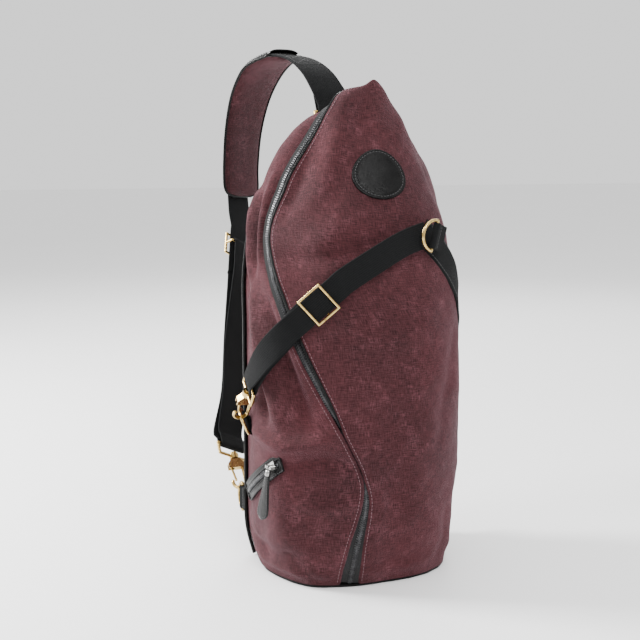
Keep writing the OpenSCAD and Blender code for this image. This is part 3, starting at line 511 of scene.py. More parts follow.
class Nodes:
    """A short way to write a material's nodes."""

    def __init__(self, name, **sockets):
        self.material = bpy.data.materials.new(name)
        self.material.use_nodes = True
        self.tree = self.material.node_tree
        self.shader = self.tree.nodes["Principled BSDF"]
        for socket, value in sockets.items():
            self.set(socket.replace("_", " "), value)

    def set(self, socket, value):
        self.put(self.shader.inputs[socket], value)

    def put(self, socket, value):
        if isinstance(value, bpy.types.NodeSocket):
            self.tree.links.new(value, socket)
        else:
            socket.default_value = value

    def add(self, kind, *values, **settings):
        node = self.tree.nodes.new("ShaderNode" + kind)
        for key, value in settings.items():
            setattr(node, key, value)
        for i, value in enumerate(values):
            if value is not None:
                self.put(node.inputs[i], value)
        return node

    def cloth(self):
        """Places on the flat cloth, in metres."""
        return self.add("Attribute", attribute_name="cloth").outputs["Vector"]

    def place(self):
        return self.add("TexCoord").outputs["Object"]

    def scaled(self, vector, x, y, z):
        return self.add("VectorMath", vector, (x, y, z), operation="MULTIPLY").outputs[0]

    def part(self, vector, axis):
        return self.add("SeparateXYZ", vector).outputs[axis]

    def math(self, operation, a, b=0.0):
        return self.add("Math", a, b, operation=operation).outputs[0]

    def times(self, a, b):
        return self.math("MULTIPLY", a, b)

    def plus(self, a, b):
        return self.math("ADD", a, b)

    def noise(self, vector, scale=1.0, detail=3.0, roughness=0.55):
        node = self.add("TexNoise")
        for key, value in (("Vector", vector), ("Scale", scale), ("Detail", detail),
                           ("Roughness", roughness)):
            self.put(node.inputs[key], value)
        return node.outputs[0]

    def spread(self, value, low, high, to_low=0.0, to_high=1.0):
        node = self.add("MapRange", value, low, high, to_low, to_high)
        return node.outputs[0]

    def colours(self, value, *stops):
        """A colour ramp of (position, colour) stops."""
        ramp = self.add("ValToRGB", value)
        elements = ramp.color_ramp.elements
        while len(elements) < len(stops):
            elements.new(0.5)
        for element, (position, colour) in zip(elements, stops):
            element.position = position
            element.color = (*colour, 1)
        return ramp.outputs[0]

    def mix(self, factor, a, b):
        node = self.add("Mix", data_type="RGBA")
        for key, value in ((0, factor), (6, a), (7, b)):
            self.put(node.inputs[key], value if not isinstance(value, tuple) else (*value, 1))
        return node.outputs[2]

    def ridges(self, value, pitch):
        """Even ridges along one coordinate, from -1 to 1."""
        return self.math("SINE", self.times(value, 2 * math.pi / pitch))

    def bump(self, *layers):
        """Stacks (height, distance) layers on the shader's normal."""
        normal = None
        for height, distance in layers:
            node = self.add("Bump")
            self.put(node.inputs["Height"], height)
            self.put(node.inputs["Distance"], distance)
            if normal:
                self.put(node.inputs["Normal"], normal)
            normal = node.outputs[0]
        self.set("Normal", normal)


def canvas_material(name, dark, light, dust):
    """Heathered waxed canvas: mixed threads both ways, cloudy wax and pale rubbed patches."""
    n = Nodes(name, Sheen_Weight=0.16, Sheen_Roughness=0.32, Sheen_Tint=(0.95, 0.5, 0.6, 1),
              Specular_IOR_Level=0.13)
    cloth, place = n.cloth(), n.place()
    warp = n.noise(n.scaled(cloth, 1500, 130, 1), detail=2)
    weft = n.noise(n.scaled(cloth, 120, 1350, 1), detail=2)
    heather = n.times(n.plus(warp, weft), 0.5)
    cloud = n.noise(place, 11, 5, 0.6)
    rub = n.noise(place, 60, 6, 0.7)
    tone = n.plus(n.times(n.spread(heather, 0.38, 0.62), 0.6),
                  n.times(n.spread(cloud, 0.3, 0.7), 0.4))
    base = n.colours(tone, (0.15, dark), (0.85, light))
    worn = n.times(n.spread(rub, 0.5, 0.8), n.spread(heather, 0.42, 0.6))
    n.set("Base Color", n.mix(n.times(worn, 0.45), base, dust))
    n.set("Roughness", n.spread(cloud, 0.3, 0.7, 0.66, 0.86))
    pitch = 0.9 * MM
    weave = n.times(n.ridges(n.part(cloth, 0), pitch), n.ridges(n.part(cloth, 1), pitch))
    n.bump((weave, 0.12 * MM), (heather, 0.5 * MM), (rub, 1.2 * MM))
    return n.material


def leather_material(name, low_gloss, high_gloss, coat=0.0):
    """Black leather: fine pebble grain, soft creases and an uneven polish."""
    n = Nodes(name, Coat_Weight=coat, Coat_Roughness=0.09, Specular_IOR_Level=0.1)
    place = n.place()
    grain = n.add("TexVoronoi", feature="DISTANCE_TO_EDGE")
    n.put(grain.inputs["Vector"], place)
    n.put(grain.inputs["Scale"], 900.0)
    crease = n.noise(place, 90, 6, 0.65)
    polish = n.noise(place, 30, 4, 0.6)
    n.set("Base Color", n.colours(n.times(crease, polish),
                                  (0.1, (0.0015, 0.0015, 0.0015)), (0.5, (0.008, 0.0078, 0.0078))))
    n.set("Roughness", n.spread(polish, 0.3, 0.7, low_gloss, high_gloss))
    n.bump((n.spread(grain.outputs[0], 0, 0.25), 0.07 * MM), (crease, 0.5 * MM))
    return n.material


def webbing_material(name, low, high):
    """Black webbing: chevron ribs that run along it, crossed by its weft."""
    n = Nodes(name, Sheen_Weight=0.015, Sheen_Roughness=0.4, Specular_IOR_Level=0.07)
    cloth = n.cloth()
    x, y = n.part(cloth, 0), n.part(cloth, 1)
    rib = n.ridges(x, 1.9 * MM)
    slant = n.times(n.math("ABSOLUTE", rib), 0.9 * MM)
    weft = n.ridges(n.plus(y, slant), 1.15 * MM)
    height = n.plus(n.times(rib, 0.45), n.times(weft, 0.55))
    fuzz = n.noise(n.scaled(cloth, 2500, 600, 1), detail=2)
    # The colour follows the weave's height: painted shade darkens the grooves between ribs and weft, over
    # random fuzz.
    tone = n.plus(n.spread(height, -1, 1, 0, 0.55), n.times(fuzz, 0.45))
    n.set("Base Color", n.colours(tone, (0.2, low), (0.85, high)))
    n.set("Roughness", n.spread(fuzz, 0.3, 0.7, 0.62, 0.82))
    n.bump((height, 0.32 * MM), (fuzz, 0.2 * MM))
    return n.material


def metal_material(name, bright, dull, low_gloss, high_gloss):
    """Cast and tumbled metal: a mottled tarnish, fine scratches and soft dents."""
    n = Nodes(name, Metallic=1.0)
    place = n.place()
    mottle = n.noise(place, 240, 5, 0.62)
    scratch = n.noise(n.scaled(place, 400, 400, 4000), detail=3)
    n.set("Base Color", n.mix(n.spread(mottle, 0.35, 0.68), bright, dull))
    n.set("Roughness", n.spread(n.plus(mottle, scratch), 0.75, 1.3, low_gloss, high_gloss))
    n.bump((scratch, 0.03 * MM), (mottle, 0.12 * MM))
    return n.material


def thread_material(name, colour, pale):
    """Twisted sewing thread."""
    n = Nodes(name, Sheen_Weight=0.2, Specular_IOR_Level=0.35)
    twist = n.noise(n.scaled(n.place(), 2600, 2600, 900), detail=2)
    n.set("Base Color", n.mix(twist, colour, pale))
    n.set("Roughness", n.spread(twist, 0.3, 0.7, 0.5, 0.75))
    n.bump((twist, 0.1 * MM))
    return n.material


def plain_cloth_material(name, dark, light, pitch):
    """Thin woven stuff: zip tape, lining and foam backing."""
    n = Nodes(name, Sheen_Weight=0.12, Specular_IOR_Level=0.25)
    place = n.place()
    fibre = n.noise(place, 700, 3, 0.6)
    weave = n.times(n.ridges(n.part(place, 0), pitch), n.ridges(n.part(place, 2), pitch))
    n.set("Base Color", n.mix(fibre, dark, light))
    n.set("Roughness", n.spread(fibre, 0.3, 0.7, 0.7, 0.9))
    n.bump((weave, 0.12 * MM), (fibre, 0.3 * MM))
    return n.material


def board_material():
    """Pressed fibre board."""
    n = Nodes("board", Specular_IOR_Level=0.3)
    fibre = n.noise(n.scaled(n.place(), 900, 200, 900), detail=4)
    n.set("Base Color", n.mix(fibre, (0.16, 0.12, 0.08), (0.34, 0.27, 0.2)))
    n.set("Roughness", n.spread(fibre, 0.3, 0.7, 0.7, 0.9))
    n.bump((fibre, 0.2 * MM))
    return n.material


CANVAS = canvas_material("canvas", (0.0165, 0.0038, 0.0048), (0.072, 0.0208, 0.0248),
                         (0.25, 0.096, 0.118))
LEATHER = leather_material("leather", 0.2, 0.36)
PAD_LEATHER = leather_material("pad_leather", 0.15, 0.28, coat=0.16)
GLOSS_LEATHER = leather_material("gloss_leather", 0.08, 0.18, coat=0.3)
WEBBING = webbing_material("webbing", (0.0025, 0.0027, 0.003), (0.013, 0.0135, 0.014))
TAPE = plain_cloth_material("zip_tape", (0.003, 0.003, 0.0032), (0.009, 0.009, 0.0095), 0.9 * MM)
TEETH = metal_material("zip_teeth", (0.1, 0.1, 0.103), (0.03, 0.03, 0.032), 0.26, 0.44)
SLIDER = metal_material("zip_slider", (0.5, 0.49, 0.48), (0.2, 0.195, 0.19), 0.18, 0.36)
BRASS = metal_material("brass", (0.7, 0.5, 0.19), (0.32, 0.21, 0.07), 0.14, 0.32)
LINING = plain_cloth_material("lining", (0.13, 0.11, 0.09), (0.26, 0.22, 0.18), 1.1 * MM)
FOAM = plain_cloth_material("foam", (0.5, 0.48, 0.44), (0.68, 0.66, 0.62), 2.5 * MM)
BOARD = board_material()
DARK_THREAD = thread_material("dark_thread", (0.03, 0.012, 0.015), (0.09, 0.04, 0.048))
PALE_THREAD = thread_material("pale_thread", (0.2, 0.12, 0.125), (0.4, 0.29, 0.28))
ROSE_THREAD = thread_material("rose_thread", (0.07, 0.028, 0.035), (0.17, 0.085, 0.1))
BLACK_THREAD = thread_material("black_thread", (0.012, 0.012, 0.012), (0.06, 0.06, 0.062))

BAG, STRAP = "bag", "shoulder_strap"


def place_on(piece, body, slot, *nodes):
    """Rides a piece on a body and hides the CAD nodes that it stands for; slot is not used."""
    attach(piece, body)
    if nodes:
        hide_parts(*nodes)
    return piece


def join(name, pieces):
    """One piece from several meshes, each with its own material."""
    for piece in bpy.context.selected_objects:
        piece.select_set(False)
    for piece in pieces:
        piece.select_set(True)
    bpy.context.view_layer.objects.active = pieces[0]
    bpy.ops.object.join()
    pieces[0].name = name
    return pieces[0]


# ---------- body ----------

# how far the gusset's and the flap's edges lie from the zip, in mm, by v. Between v 2.1 and 3 the
# two edges meet over the zip.
EDGE_V = [0, 0.6, 1.2, 1.8, 2.15, 2.9, 3.3, 3.8, 4.6, 9.9]
EDGE_AWAY = [9, 8, 6, 3, 0.4, 0.4, 3, 4.4, 4.8, 4.8]
CANVAS_T = 1.6 * MM
HEM = 2.2 * MM
GUSSET, FLAP = -1, 1
WING_RISE = 4.5 * MM
MEET_V, MEET_RISE = 2.55, 1.8 * MM


def edge_u(v, side, extra=0.0):
    """The u of the gusset's or the flap's edge, or of a line extra metres further from the zip."""
    return beside_zip(v, side * (np.interp(v, EDGE_V, EDGE_AWAY) * MM + extra))


def wing(v):
    """How far the flap's edge stands proud of the gusset beside the upper zip."""
    return WING_RISE * smooth(3.6, 5.2, v) * smooth(0, 1.2, 9.3 - v)


def edge_lift(v, near, side):
    """How far the shell rises close to its edge: the flap over the upper zip, and both where the
    edges meet. The gusset sinks beside the upper zip."""
    lift = wing(v) * np.exp(-(near / (16 * MM)) ** 2) * (1 if side == FLAP else -0.7)
    over = MEET_RISE * bump_at(MEET_V, 0.5, v) * np.exp(-(near / (10 * MM)) ** 2)
    return lift + over


def wall(name, side, rows, columns):
    """One side of the shell, from a side seam to the zip, with its edge turned in over the zip."""
    v = np.linspace(0.002, TOP_V, rows)[:, None]
    seam = SEAM_U if side == FLAP else 0
    t = np.linspace(0, 1, columns)[None, :]
    edge = edge_u(v[:, 0], side)[:, None]
    u = seam + (edge - seam) * t ** 0.9
    near = np.linalg.norm(surf(u, v) - surf(edge + 0 * u, v + 0 * u), axis=-1)
    roll = -HEM * (1 - np.sqrt(np.clip(1 - (1 - np.clip(near / (1.3 * HEM), 0, 1)) ** 2, 0, 1)))
    grid = skin(u, v + 0 * u, roll + edge_lift(v, near, side))
    return sheet(name, grid, CANVAS_T, CANVAS, flip=side == FLAP)


def shell():
    """The canvas on both sides of the main zip, and the padding, lining and pocket under it."""
    place_on(wall("gusset_canvas", GUSSET, 300, 130), BAG, "canvas", "left_gusset")
    place_on(wall("flap_canvas", FLAP, 270, 165), BAG, "canvas", "front_flap")
    v = np.linspace(0.3, 8.0, 90)[:, None]
    left, right = beside_zip(v, -20 * MM), beside_zip(v, 20 * MM)
    layers = (("left_padding_foam", 0.5, left, -3.4, 3, FOAM, "foam", "left_padding"),
              ("front_padding_foam", right, SEAM_U - 0.45, -2.6, 3, FOAM, "foam", "front_padding"),
              ("bag_lining", 0.55, SEAM_U - 0.5, -9, 1, LINING, "lining", "lining"))
    for name, low_u, high_u, low, thick, material, slot, node in layers:
        t = np.linspace(0, 1, 80)[None, :]
        grid = skin(low_u * (1 - t) + high_u * t, v + 0 * t, low * MM)
        place_on(sheet(name, grid, thick * MM, material), BAG, slot, node)
    v = np.linspace(0.5, 2.1, 24)[:, None]
    u = np.linspace(0.5, 2.1, 24)[None, :]
    pocket = sheet("side_pocket_lining", skin(u + 0 * v, v + 0 * u, -1.9 * MM), 0.4 * MM, LINING)
    place_on(pocket, BAG, "lining", "side_pocket_bag")


def edge_line(v, side, beside, h):
    """Points and outward directions along the flap's or the gusset's edge."""
    u = edge_u(v, side, beside)
    return skin(u, v, edge_lift(v, beside, side) + h), outward(u, v)


def flap_binding():
    """The narrow black leather edge of the flap beside the zip, and the stitches along it."""
    v = np.linspace(2.95, 9.75, 260)
    radius = 1.5 * MM * smooth(0, 0.5, v - 2.9) * smooth(0, 0.25, 9.85 - v) + 0.05 * MM
    line, _ = edge_line(v, FLAP, 0.2 * MM, -0.6 * MM)
    place_on(tube("flap_edge_binding", line, radius, LEATHER), BAG, "leather", "flap_binding")
    rows = []
    for k, (side, low, high) in enumerate(((FLAP, 0.12, 9.6), (GUSSET, 0.12, 9.3))):
        v = np.linspace(low, high, 400)
        line, out = edge_line(v, side, 3.4 * MM, 0)
        rows.append(stitches(f"zip_row_{k}", line, out, ROSE_THREAD, 3.6 * MM, 0.36 * MM))
    place_on(join("zip_edge_stitches", rows), BAG, "canvas")


def rails():
    """The back panel's two side edges, from the base up to where they meet at the top."""
    v = np.linspace(0, TOP_V, 120)
    left, right = surf(0 * v, v), surf(SEAM_U + 0 * v, v)
    return left, right


def back_zip_frame():
    return frame_at(mm(0, 57.1, 347.5), [142, 0, 9], [0, 1, 0])


def window_outline(half_x, half_z, h, angles):
    """A rectangle with 2 mm round corners round the back zip, h above it."""
    corner = 2 * MM
    c, s = np.cos(angles), np.sin(angles)
    x = np.copysign(half_x - corner, c) + corner * c
    z = np.copysign(half_z - corner, s) + corner * s
    return into(back_zip_frame(), np.stack([x, 0 * x + h, z], 1))


def cut_window(panel):
    """Cuts the back zip's opening through the panel."""
    angles = np.linspace(0.1, 2 * math.pi + 0.1, 32, endpoint=False)
    outline = window_outline(BACK_ZIP_LEN / 2, 5.4 * MM, 0, angles)
    out = back_zip_frame()[:3, 1] * 12 * MM
    points = np.concatenate([outline - out, outline + out])
    cutter = solid("back_zip_cutter", points, ring_faces(2, len(outline)), CANVAS)
    cut = panel.modifiers.new("window", "BOOLEAN")
    cut.operation, cut.object, cut.solver = "DIFFERENCE", cutter, "EXACT"
    bpy.context.view_layer.objects.active = panel
    bpy.ops.object.modifier_apply(modifier="window")
    bpy.data.objects.remove(cutter)


def back_panel():
    """The back panel: slightly full below, puckered under the strap's anchor and cut for its zip."""
    left, right = rails()
    t = np.linspace(0, 1, 130)[None, :, None]
    spread = 0.5 - 0.5 * np.cos(np.pi * t)
    grid = left[:, None] * (1 - spread) + right[:, None] * spread
    x, z = grid[..., 0], grid[..., 2]
    edge = smooth(0, 0.12, np.minimum(t[..., 0], 1 - t[..., 0]))
    top = smooth(0, 25 * MM, left[:, 2].max() + 2 * MM - z)
    belly = 4 * MM * bump_at(0.19, 0.1, z) * bump_at(0, 0.075, x)
    anchor = 1 - 0.9 * bump_at(0.005, 0.022, x) * smooth(0.392, 0.4, z)
    pucker = 1.3 * MM * np.sin(x / (5.5 * MM) + 1.2 * np.sin(z / (14 * MM))) * bump_at(0.395, 0.035, z)
    pucker = pucker * bump_at(0.008, 0.05, x) * anchor
    sag = (1.0 * MM * waves(grid, 0.05, 21) * smooth(0, 0.06, 0.32 - z)
           + 0.4 * MM * waves(grid, 0.022, 22))
    under_pull = smooth(265 * MM, 285 * MM, z) * (1 - smooth(365 * MM, 380 * MM, z))
    rise = (belly + pucker + sag) * (1 - under_pull) - 0.4 * MM * under_pull
    grid[..., 1] = BACK_Y - 1.6 * MM * (1 - edge) + rise * edge * top
    m = back_zip_frame()
    local = np.stack([(grid - m[:3, 3]) @ m[:3, k] for k in range(3)], -1)
    window = np.maximum(np.abs(local[..., 0]) - BACK_ZIP_LEN / 2, np.abs(local[..., 2]) - 6 * MM)
    flatten = smooth(0, 22 * MM, window)
    grid[..., 1] = BACK_Y + (grid[..., 1] - BACK_Y) * flatten - 0.5 * MM * (1 - flatten)
    panel = sheet("back_canvas", grid, 2.2 * MM, CANVAS, flip=True)
    cut_window(panel)
    place_on(panel, BAG, "canvas", "back_panel")
    loop = window_outline(BACK_ZIP_LEN / 2 + 2.4 * MM, 7.6 * MM, 3.65 * MM,
                          np.linspace(0.02, 2 * math.pi + 0.02, 80))
    rows = [stitches("window_row", loop, 0 * loop + [0, 1, 0], DARK_THREAD, 3.4 * MM, 0.34 * MM)]
    rail = np.concatenate([left[4:], right[:3:-1]])
    inward = unit(np.cross([0, 1, 0], np.gradient(rail, axis=0)))
    row = rail + 4.6 * MM * inward
    row[:, 1] = BACK_Y - 0.25 * MM
    rows.append(stitches("rail_row", row, 0 * row + [0, 1, 0], DARK_THREAD, 4 * MM, 0.32 * MM))
    place_on(join("back_stitches", rows), BAG, "canvas")


def piping():
    """Leather piping round the back panel's seam."""
    left, right = rails()
    rail = np.concatenate([left, right[::-1]])
    along = unit(np.gradient(rail * [1, 0, 1], axis=0))
    out = np.cross(along, [0, 1, 0])
    line = rail + 2.1 * MM * out
    line[:, 1] = SEAM_Y + 2.4 * MM
    place_on(tube("seam_piping", line, 2.0 * MM, LEATHER, 12), BAG, "leather", "back_piping")


def base():
    """The leather base, its edge rounded and wrinkled where it meets the canvas."""
    u = np.linspace(0, SEAM_U, 161)
    outline = surf(u, 0 * u)[:, :2]
    centre = np.array([0, 10 * MM])
    rings = []
    for h, inset in ((0, 6), (0, 2.5), (0.6, 0.8), (1.6, 0.1), (2.8, 0.3), (3.4, 1.8), (3.4, 6)):
        toward = unit(centre - outline)
        edge = outline + inset * MM * toward
        ripple = 0.35 * MM * waves(np.c_[outline, 0 * u], 0.02, 31) * (0.4 < h < 3)
        rings.append(np.c_[edge - toward * np.asarray(ripple)[:, None], np.full(len(u), h * MM)])
    points = np.concatenate(rings)
    piece = solid("leather_base", points, ring_faces(len(rings), len(u)), LEATHER, points, sharp=50)
    place_on(piece, BAG, "leather", "base_panel")


def patch():
    """A plain round leather patch with a pressed rim and a row of stitches."""
    centre = np.array([4.85, 6.35])
    net = np.stack([surf(*(centre + d)) - surf(*(centre - d)) for d in ([0.25, 0], [0, 0.25])], 1) / 0.5
    level = unit(net[:, 0])
    rise = unit(np.cross(outward(*centre), level))
    angles = np.linspace(0, 2 * math.pi, 96, endpoint=False)
    circle = np.cos(angles)[:, None] * level + np.sin(angles)[:, None] * rise
    steps = np.linalg.lstsq(net, circle.T, rcond=None)[0]

    def ring(r, h):
        u, v = centre[:, None] + r * steps
        return skin(u, v, h), outward(u, v)

    profile = [(0.02, 2.2), (0.2, 2.2), (0.4, 2.15), (0.6, 2.1), (0.74, 2.05), (0.84, 1.95),
               (0.87, 1.6), (0.905, 1.6), (0.925, 1.95), (0.965, 2.0), (0.985, 1.85), (1, 1.3),
               (1, 0.1)]
    points = np.concatenate([ring(PATCH_R * r, h * MM)[0] for r, h in profile])
    around = np.stack([np.cos(angles), np.sin(angles), 0 * angles], 1)
    places = np.concatenate([r * PATCH_R * around for r, _ in profile])
    faces = ring_faces(len(profile), len(angles))
    disc = solid("round_patch", points, faces, LEATHER, places, sharp=50)
    place_on(disc, BAG, "leather", "leather_patch")
    line, out = ring(0.888 * PATCH_R, 1.6 * MM)
    row = stitches("patch_stitches", np.concatenate([line, line[:1]]), np.concatenate([out, out[:1]]),
                   BLACK_THREAD, 3.1 * MM, 0.34 * MM)
    place_on(row, BAG, "leather")


# ---------- zips ----------

PITCH, SIDE_PITCH = 2.3 * MM, 2.1 * MM
# how far each pull is turned on its slider, and the main pull's tilt off the tape, in degrees
MAIN_PULL_TURN, MAIN_PULL_TILT, SIDE_PULL_TURN = 96, 10, -38


def coil(name, line, out, pitch, lift=0.0):
    """Two rows of closed teeth along a line."""
    points, ups = evenly(line, pitch / 2, out)
    along = unit(np.gradient(points, axis=0))
    template, faces = spool([(-1.75 * MM, 0.45 * MM), (-1.35 * MM, 0.72 * MM), (0.9 * MM, 0.72 * MM),
                             (1.35 * MM, 0.9 * MM), (1.75 * MM, 0.5 * MM)], 6)
    frames = []
    for k, (p, t, up) in enumerate(zip(points, along, ups)):
        side = unit(np.cross(up, t)) * (1 if k % 2 else -1)
        frames.append(axes(p + lift * up - 0.85 * MM * side, side, np.cross(up, side), up))
    return copies(name, frames, template, faces, TEETH)


def strip(name, line, out, widths, thick, material):
    """A thin flat strip along a line, with a width at each of its points."""
    along = unit(np.gradient(line, axis=0))
    side = unit(np.cross(out, along))
    t = np.linspace(-0.5, 0.5, 7)[None, :, None]
    grid = line[:, None] + t * np.broadcast_to(widths, len(line))[:, None, None] * side[:, None]
    return sheet(name, grid, thick, material, flip=True)


def main_zip_frame():
    out = outward(np.array(3.0), np.array(9.6))
    return frame_at(mm(56, 48, 440) + 3.8 * MM * out, [-48, -14, 28], out)


def straight_zip(m, low, high, h):
    """A zip's straight stretch in the frame m: its points and outward directions."""
    x = np.linspace(low, high, 24)
    points = into(m, np.stack([x, 0 * x + h, 0 * x], 1))
    return points, 0 * points + m[:3, 1]


def main_zip():
    """The main zip: curved from the base to the peak, then straight on towards the right seam."""
    v = np.linspace(0.03, 9.1, 420)
    sunk = -5.0 * MM * smooth(1.9, 2.25, v) * smooth(0, 0.45, 3.35 - v)
    raised = 2.2 * MM * smooth(3.8, 5.2, v) * smooth(0, 1.2, 9.3 - v)
    u = ZIP_U + 0 * v
    out = outward(u, v)
    line = skin(u, v, sunk + raised - 2.2 * MM)
    widths = 2 * (np.interp(v, EDGE_V, EDGE_AWAY) * MM + 1.5 * MM)
    m = main_zip_frame()
    top_line, top_out = straight_zip(m, -2 * MM, 44 * MM, -0.2 * MM)
    tapes = [strip("tape_curved", line, out, widths, 0.7 * MM, TAPE),
             strip("tape_straight", top_line, top_out, 15 * MM, 0.9 * MM, TAPE)]
    place_on(join("main_zip_cloth", tapes), BAG, "zip_tape", "main_zip_tape")
    top_line, top_out = straight_zip(m, 0, 43 * MM, 0.9 * MM)
    teeth = [coil("teeth_curved", line, out, PITCH, 0.7 * MM),
             coil("teeth_straight", top_line, top_out, PITCH)]
    place_on(join("main_zip_coil", teeth), BAG, "zip_teeth", "main_zip_teeth")


def back_zip():
    """The back pocket's zip, sunk in its window between two thin leather lips."""
    m = back_zip_frame()
    line, out = straight_zip(m, -BACK_ZIP_LEN / 2 - 3 * MM, BACK_ZIP_LEN / 2 + 3 * MM, -0.1 * MM)
    tape = strip("back_zip_cloth", line, out, 20 * MM, 0.9 * MM, TAPE)
    place_on(tape, BAG, "zip_tape", "back_zip_tape")
    line, out = straight_zip(m, -BACK_ZIP_LEN / 2 + 1 * MM, BACK_ZIP_LEN / 2 - 1 * MM, 0.9 * MM)
    place_on(coil("back_zip_coil", line, out, PITCH), BAG, "zip_teeth", "back_zip_teeth")
    line, _ = straight_zip(m, -BACK_ZIP_LEN / 2 + 0.5 * MM, BACK_ZIP_LEN / 2 - 0.5 * MM, 3.1 * MM)
    lips = [tube(f"window_lip_{k}", line + z * 5.5 * MM * m[:3, 2], 0.9 * MM, LEATHER, 8)
            for k, z in enumerate((-1, 1))]
    place_on(join("back_zip_lips", lips), BAG, "leather")


def side_zip_frame():
    return frame_at(SIDE_MID, [-13, 58, -44], [-1, -0.2, 0.02])


SIDE_SLIDER_A = math.degrees(SIDE_ZIP_LEN / 2 / SIDE_ARC_R) - 3.2


def on_side_arc(degrees, h=0.0, z=0.0):
    """Points h above the side zip's arc and z beside it, and their outward directions."""
    m = side_zip_frame()
    a = np.radians(np.atleast_1d(degrees))
    r = SIDE_ARC_R + h
    local = np.stack([-r * np.sin(a), r * np.cos(a) - SIDE_ARC_R, z + 0 * a], 1)
    out = np.stack([-np.sin(a), np.cos(a), 0 * a], 1)
    return into(m, local), out @ m[:3, :3].T


def side_zip():
    """The side pocket's zip between two leather lips that run out past its lower end."""
    half = math.degrees(SIDE_ZIP_LEN / 2 / SIDE_ARC_R)
    angles = np.linspace(-half - 1, half + 1.4, 60)
    line, out = on_side_arc(angles, -0.3 * MM)
    tape = strip("side_zip_cloth", line, out, 12 * MM, 0.8 * MM, TAPE)
    place_on(tape, BAG, "zip_tape", "side_zip_tape")
    line, out = on_side_arc(np.linspace(-half + 0.5, half - 0.5, 50), 0.7 * MM)
    place_on(coil("side_zip_coil", line, out, SIDE_PITCH), BAG, "zip_teeth", "side_zip_teeth")
    trim = []
    for k, z in enumerate((-6.6 * MM, 6.6 * MM)):
        line, out = on_side_arc(angles, 0.2 * MM, z)
        trim.append(strip(f"side_lip_{k}", line, out, 6 * MM, 1.5 * MM, LEATHER))
        line, _ = on_side_arc(angles, -0.1 * MM, z * 0.62)
        trim.append(tube(f"side_roll_{k}", line, 0.9 * MM, LEATHER, 8))
    across = 8.2 * MM * side_zip_frame()[:3, 2]
    for k, a in enumerate((angles[0], angles[-1])):
        middle = on_side_arc(a, 0.3 * MM)[0][0]
        line = np.linspace(middle - across, middle + across, 12)
        trim.append(tube(f"side_end_{k}", line, 1.1 * MM, LEATHER, 8))
    place_on(join("side_zip_trim", trim), BAG, "leather")
    rows = []
    for k, z in enumerate((-8.4 * MM, 8.4 * MM)):
        line, out = on_side_arc(angles, 0.2 * MM, z)
        rows.append(stitches(f"side_row_{k}", line, out, BLACK_THREAD, 3.2 * MM, 0.3 * MM))
    place_on(join("side_zip_stitches", rows), BAG, "leather")


def side_slider_frame():
    m = side_zip_frame()
    return m @ shift(0, -SIDE_ARC_R, 0) @ turn("Z", SIDE_SLIDER_A) @ shift(0, SIDE_ARC_R, 0)


def pull(name, m, length, body, node):
    """A padded leather teardrop that hangs from a metal clip on its slider's pin."""
    t = np.array([0, 0.05, 0.14, 0.3, 0.5, 0.68, 0.82, 0.91, 0.97, 0.99, 1.0])
    half = MM * np.array([2.1, 2.8, 3.5, 4.2, 5.7, 7.4, 8.4, 8.0, 5.8, 3.6, 0.8])
    z = -2.6 * MM - t * (length - 2.6 * MM)
    s = np.linspace(0, 1, 34)
    z, half = np.interp(s, t, z), np.maximum(np.interp(s, t, half), 0.4 * MM)
    half = np.convolve(np.pad(half, 2, mode="edge"), np.ones(5) / 5, "valid")
    half[-1] = 0.8 * MM
    outline = []
    thick = 1.05 * MM
    for zi, h in zip(z, half):
        crown = min(0.55 * MM, 0.18 * h)
        ring = [(x * (h - 0.7 * MM), thick + crown * (1 - x * x)) for x in np.linspace(-1, 1, 9)]
        ring += [(h, 0.0)] + [(x, -y) for x, y in ring[::-1]] + [(-h, 0.0)]
        outline.append([(x, y, zi) for x, y in ring])
    points = into(m, np.array(outline).reshape(-1, 3))
    faces = ring_faces(len(outline), len(outline[0]))
    drop = solid(name + "_leather", points, faces, GLOSS_LEATHER, points, sharp=70)
    inset = half - 1.5 * MM
    keep = (s > 0.1) & (s < 0.95)
    line = [(x, 1.25 * MM, zi) for x, zi in zip(inset[keep], z[keep])]
    line += [(-x, y, zi) for x, y, zi in line[::-1]]
    line = into(m, np.array(line))
    row = stitches(name + "_row", line, 0 * line + m[:3, 1], BLACK_THREAD, 2.6 * MM, 0.25 * MM)
    clip_path = into(m, [(0, 1.9 * MM * math.cos(a), 1.9 * MM * math.sin(a))
                         for a in np.linspace(-1.2, 4.3, 16)])
    clip = tube(name + "_ring", clip_path, 0.75 * MM, SLIDER, 8)
    collar_path = into(m, [(0, 0, z * MM) for z in (-2.2, -3, -8, -8.6)])
    collar = tube(name + "_collar", collar_path, MM * np.array([1.2, 2.3, 2.9, 2.2]), SLIDER, 14)
    return place_on(join(name, [drop, row, clip, collar]), body, "leather", node)


def pulls():
    """The three pulls, each hanging down from its slider at rest."""
    main = main_zip_frame() @ shift(6 * MM, 0, 0) @ turn("Y", MAIN_PULL_TURN)
    main = main @ shift(0, PULL_Y, 0) @ turn("X", MAIN_PULL_TILT)
    back = back_zip_frame() @ shift(BACK_ZIP_LEN / 2 - 9 * MM, PULL_Y, 0)
    side = side_slider_frame() @ turn("Y", SIDE_PULL_TURN) @ shift(0, PULL_Y, 0)
    pull("main_pull", main, 42 * MM, "main_zip_pull", "main_zip_pull")
    pull("back_pull", back, 52 * MM, "back_zip_pull", "back_zip_pull")
    pull("side_pull", side, 52 * MM, "side_zip_pull", "side_zip_pull")


# ---------- rings, tabs and the front strap ----------

LEFT_UP_DIR = unit([-0.5, -0.52, 0.69])
LEFT_UP_BAR = mm(-108.5, 36, 152)
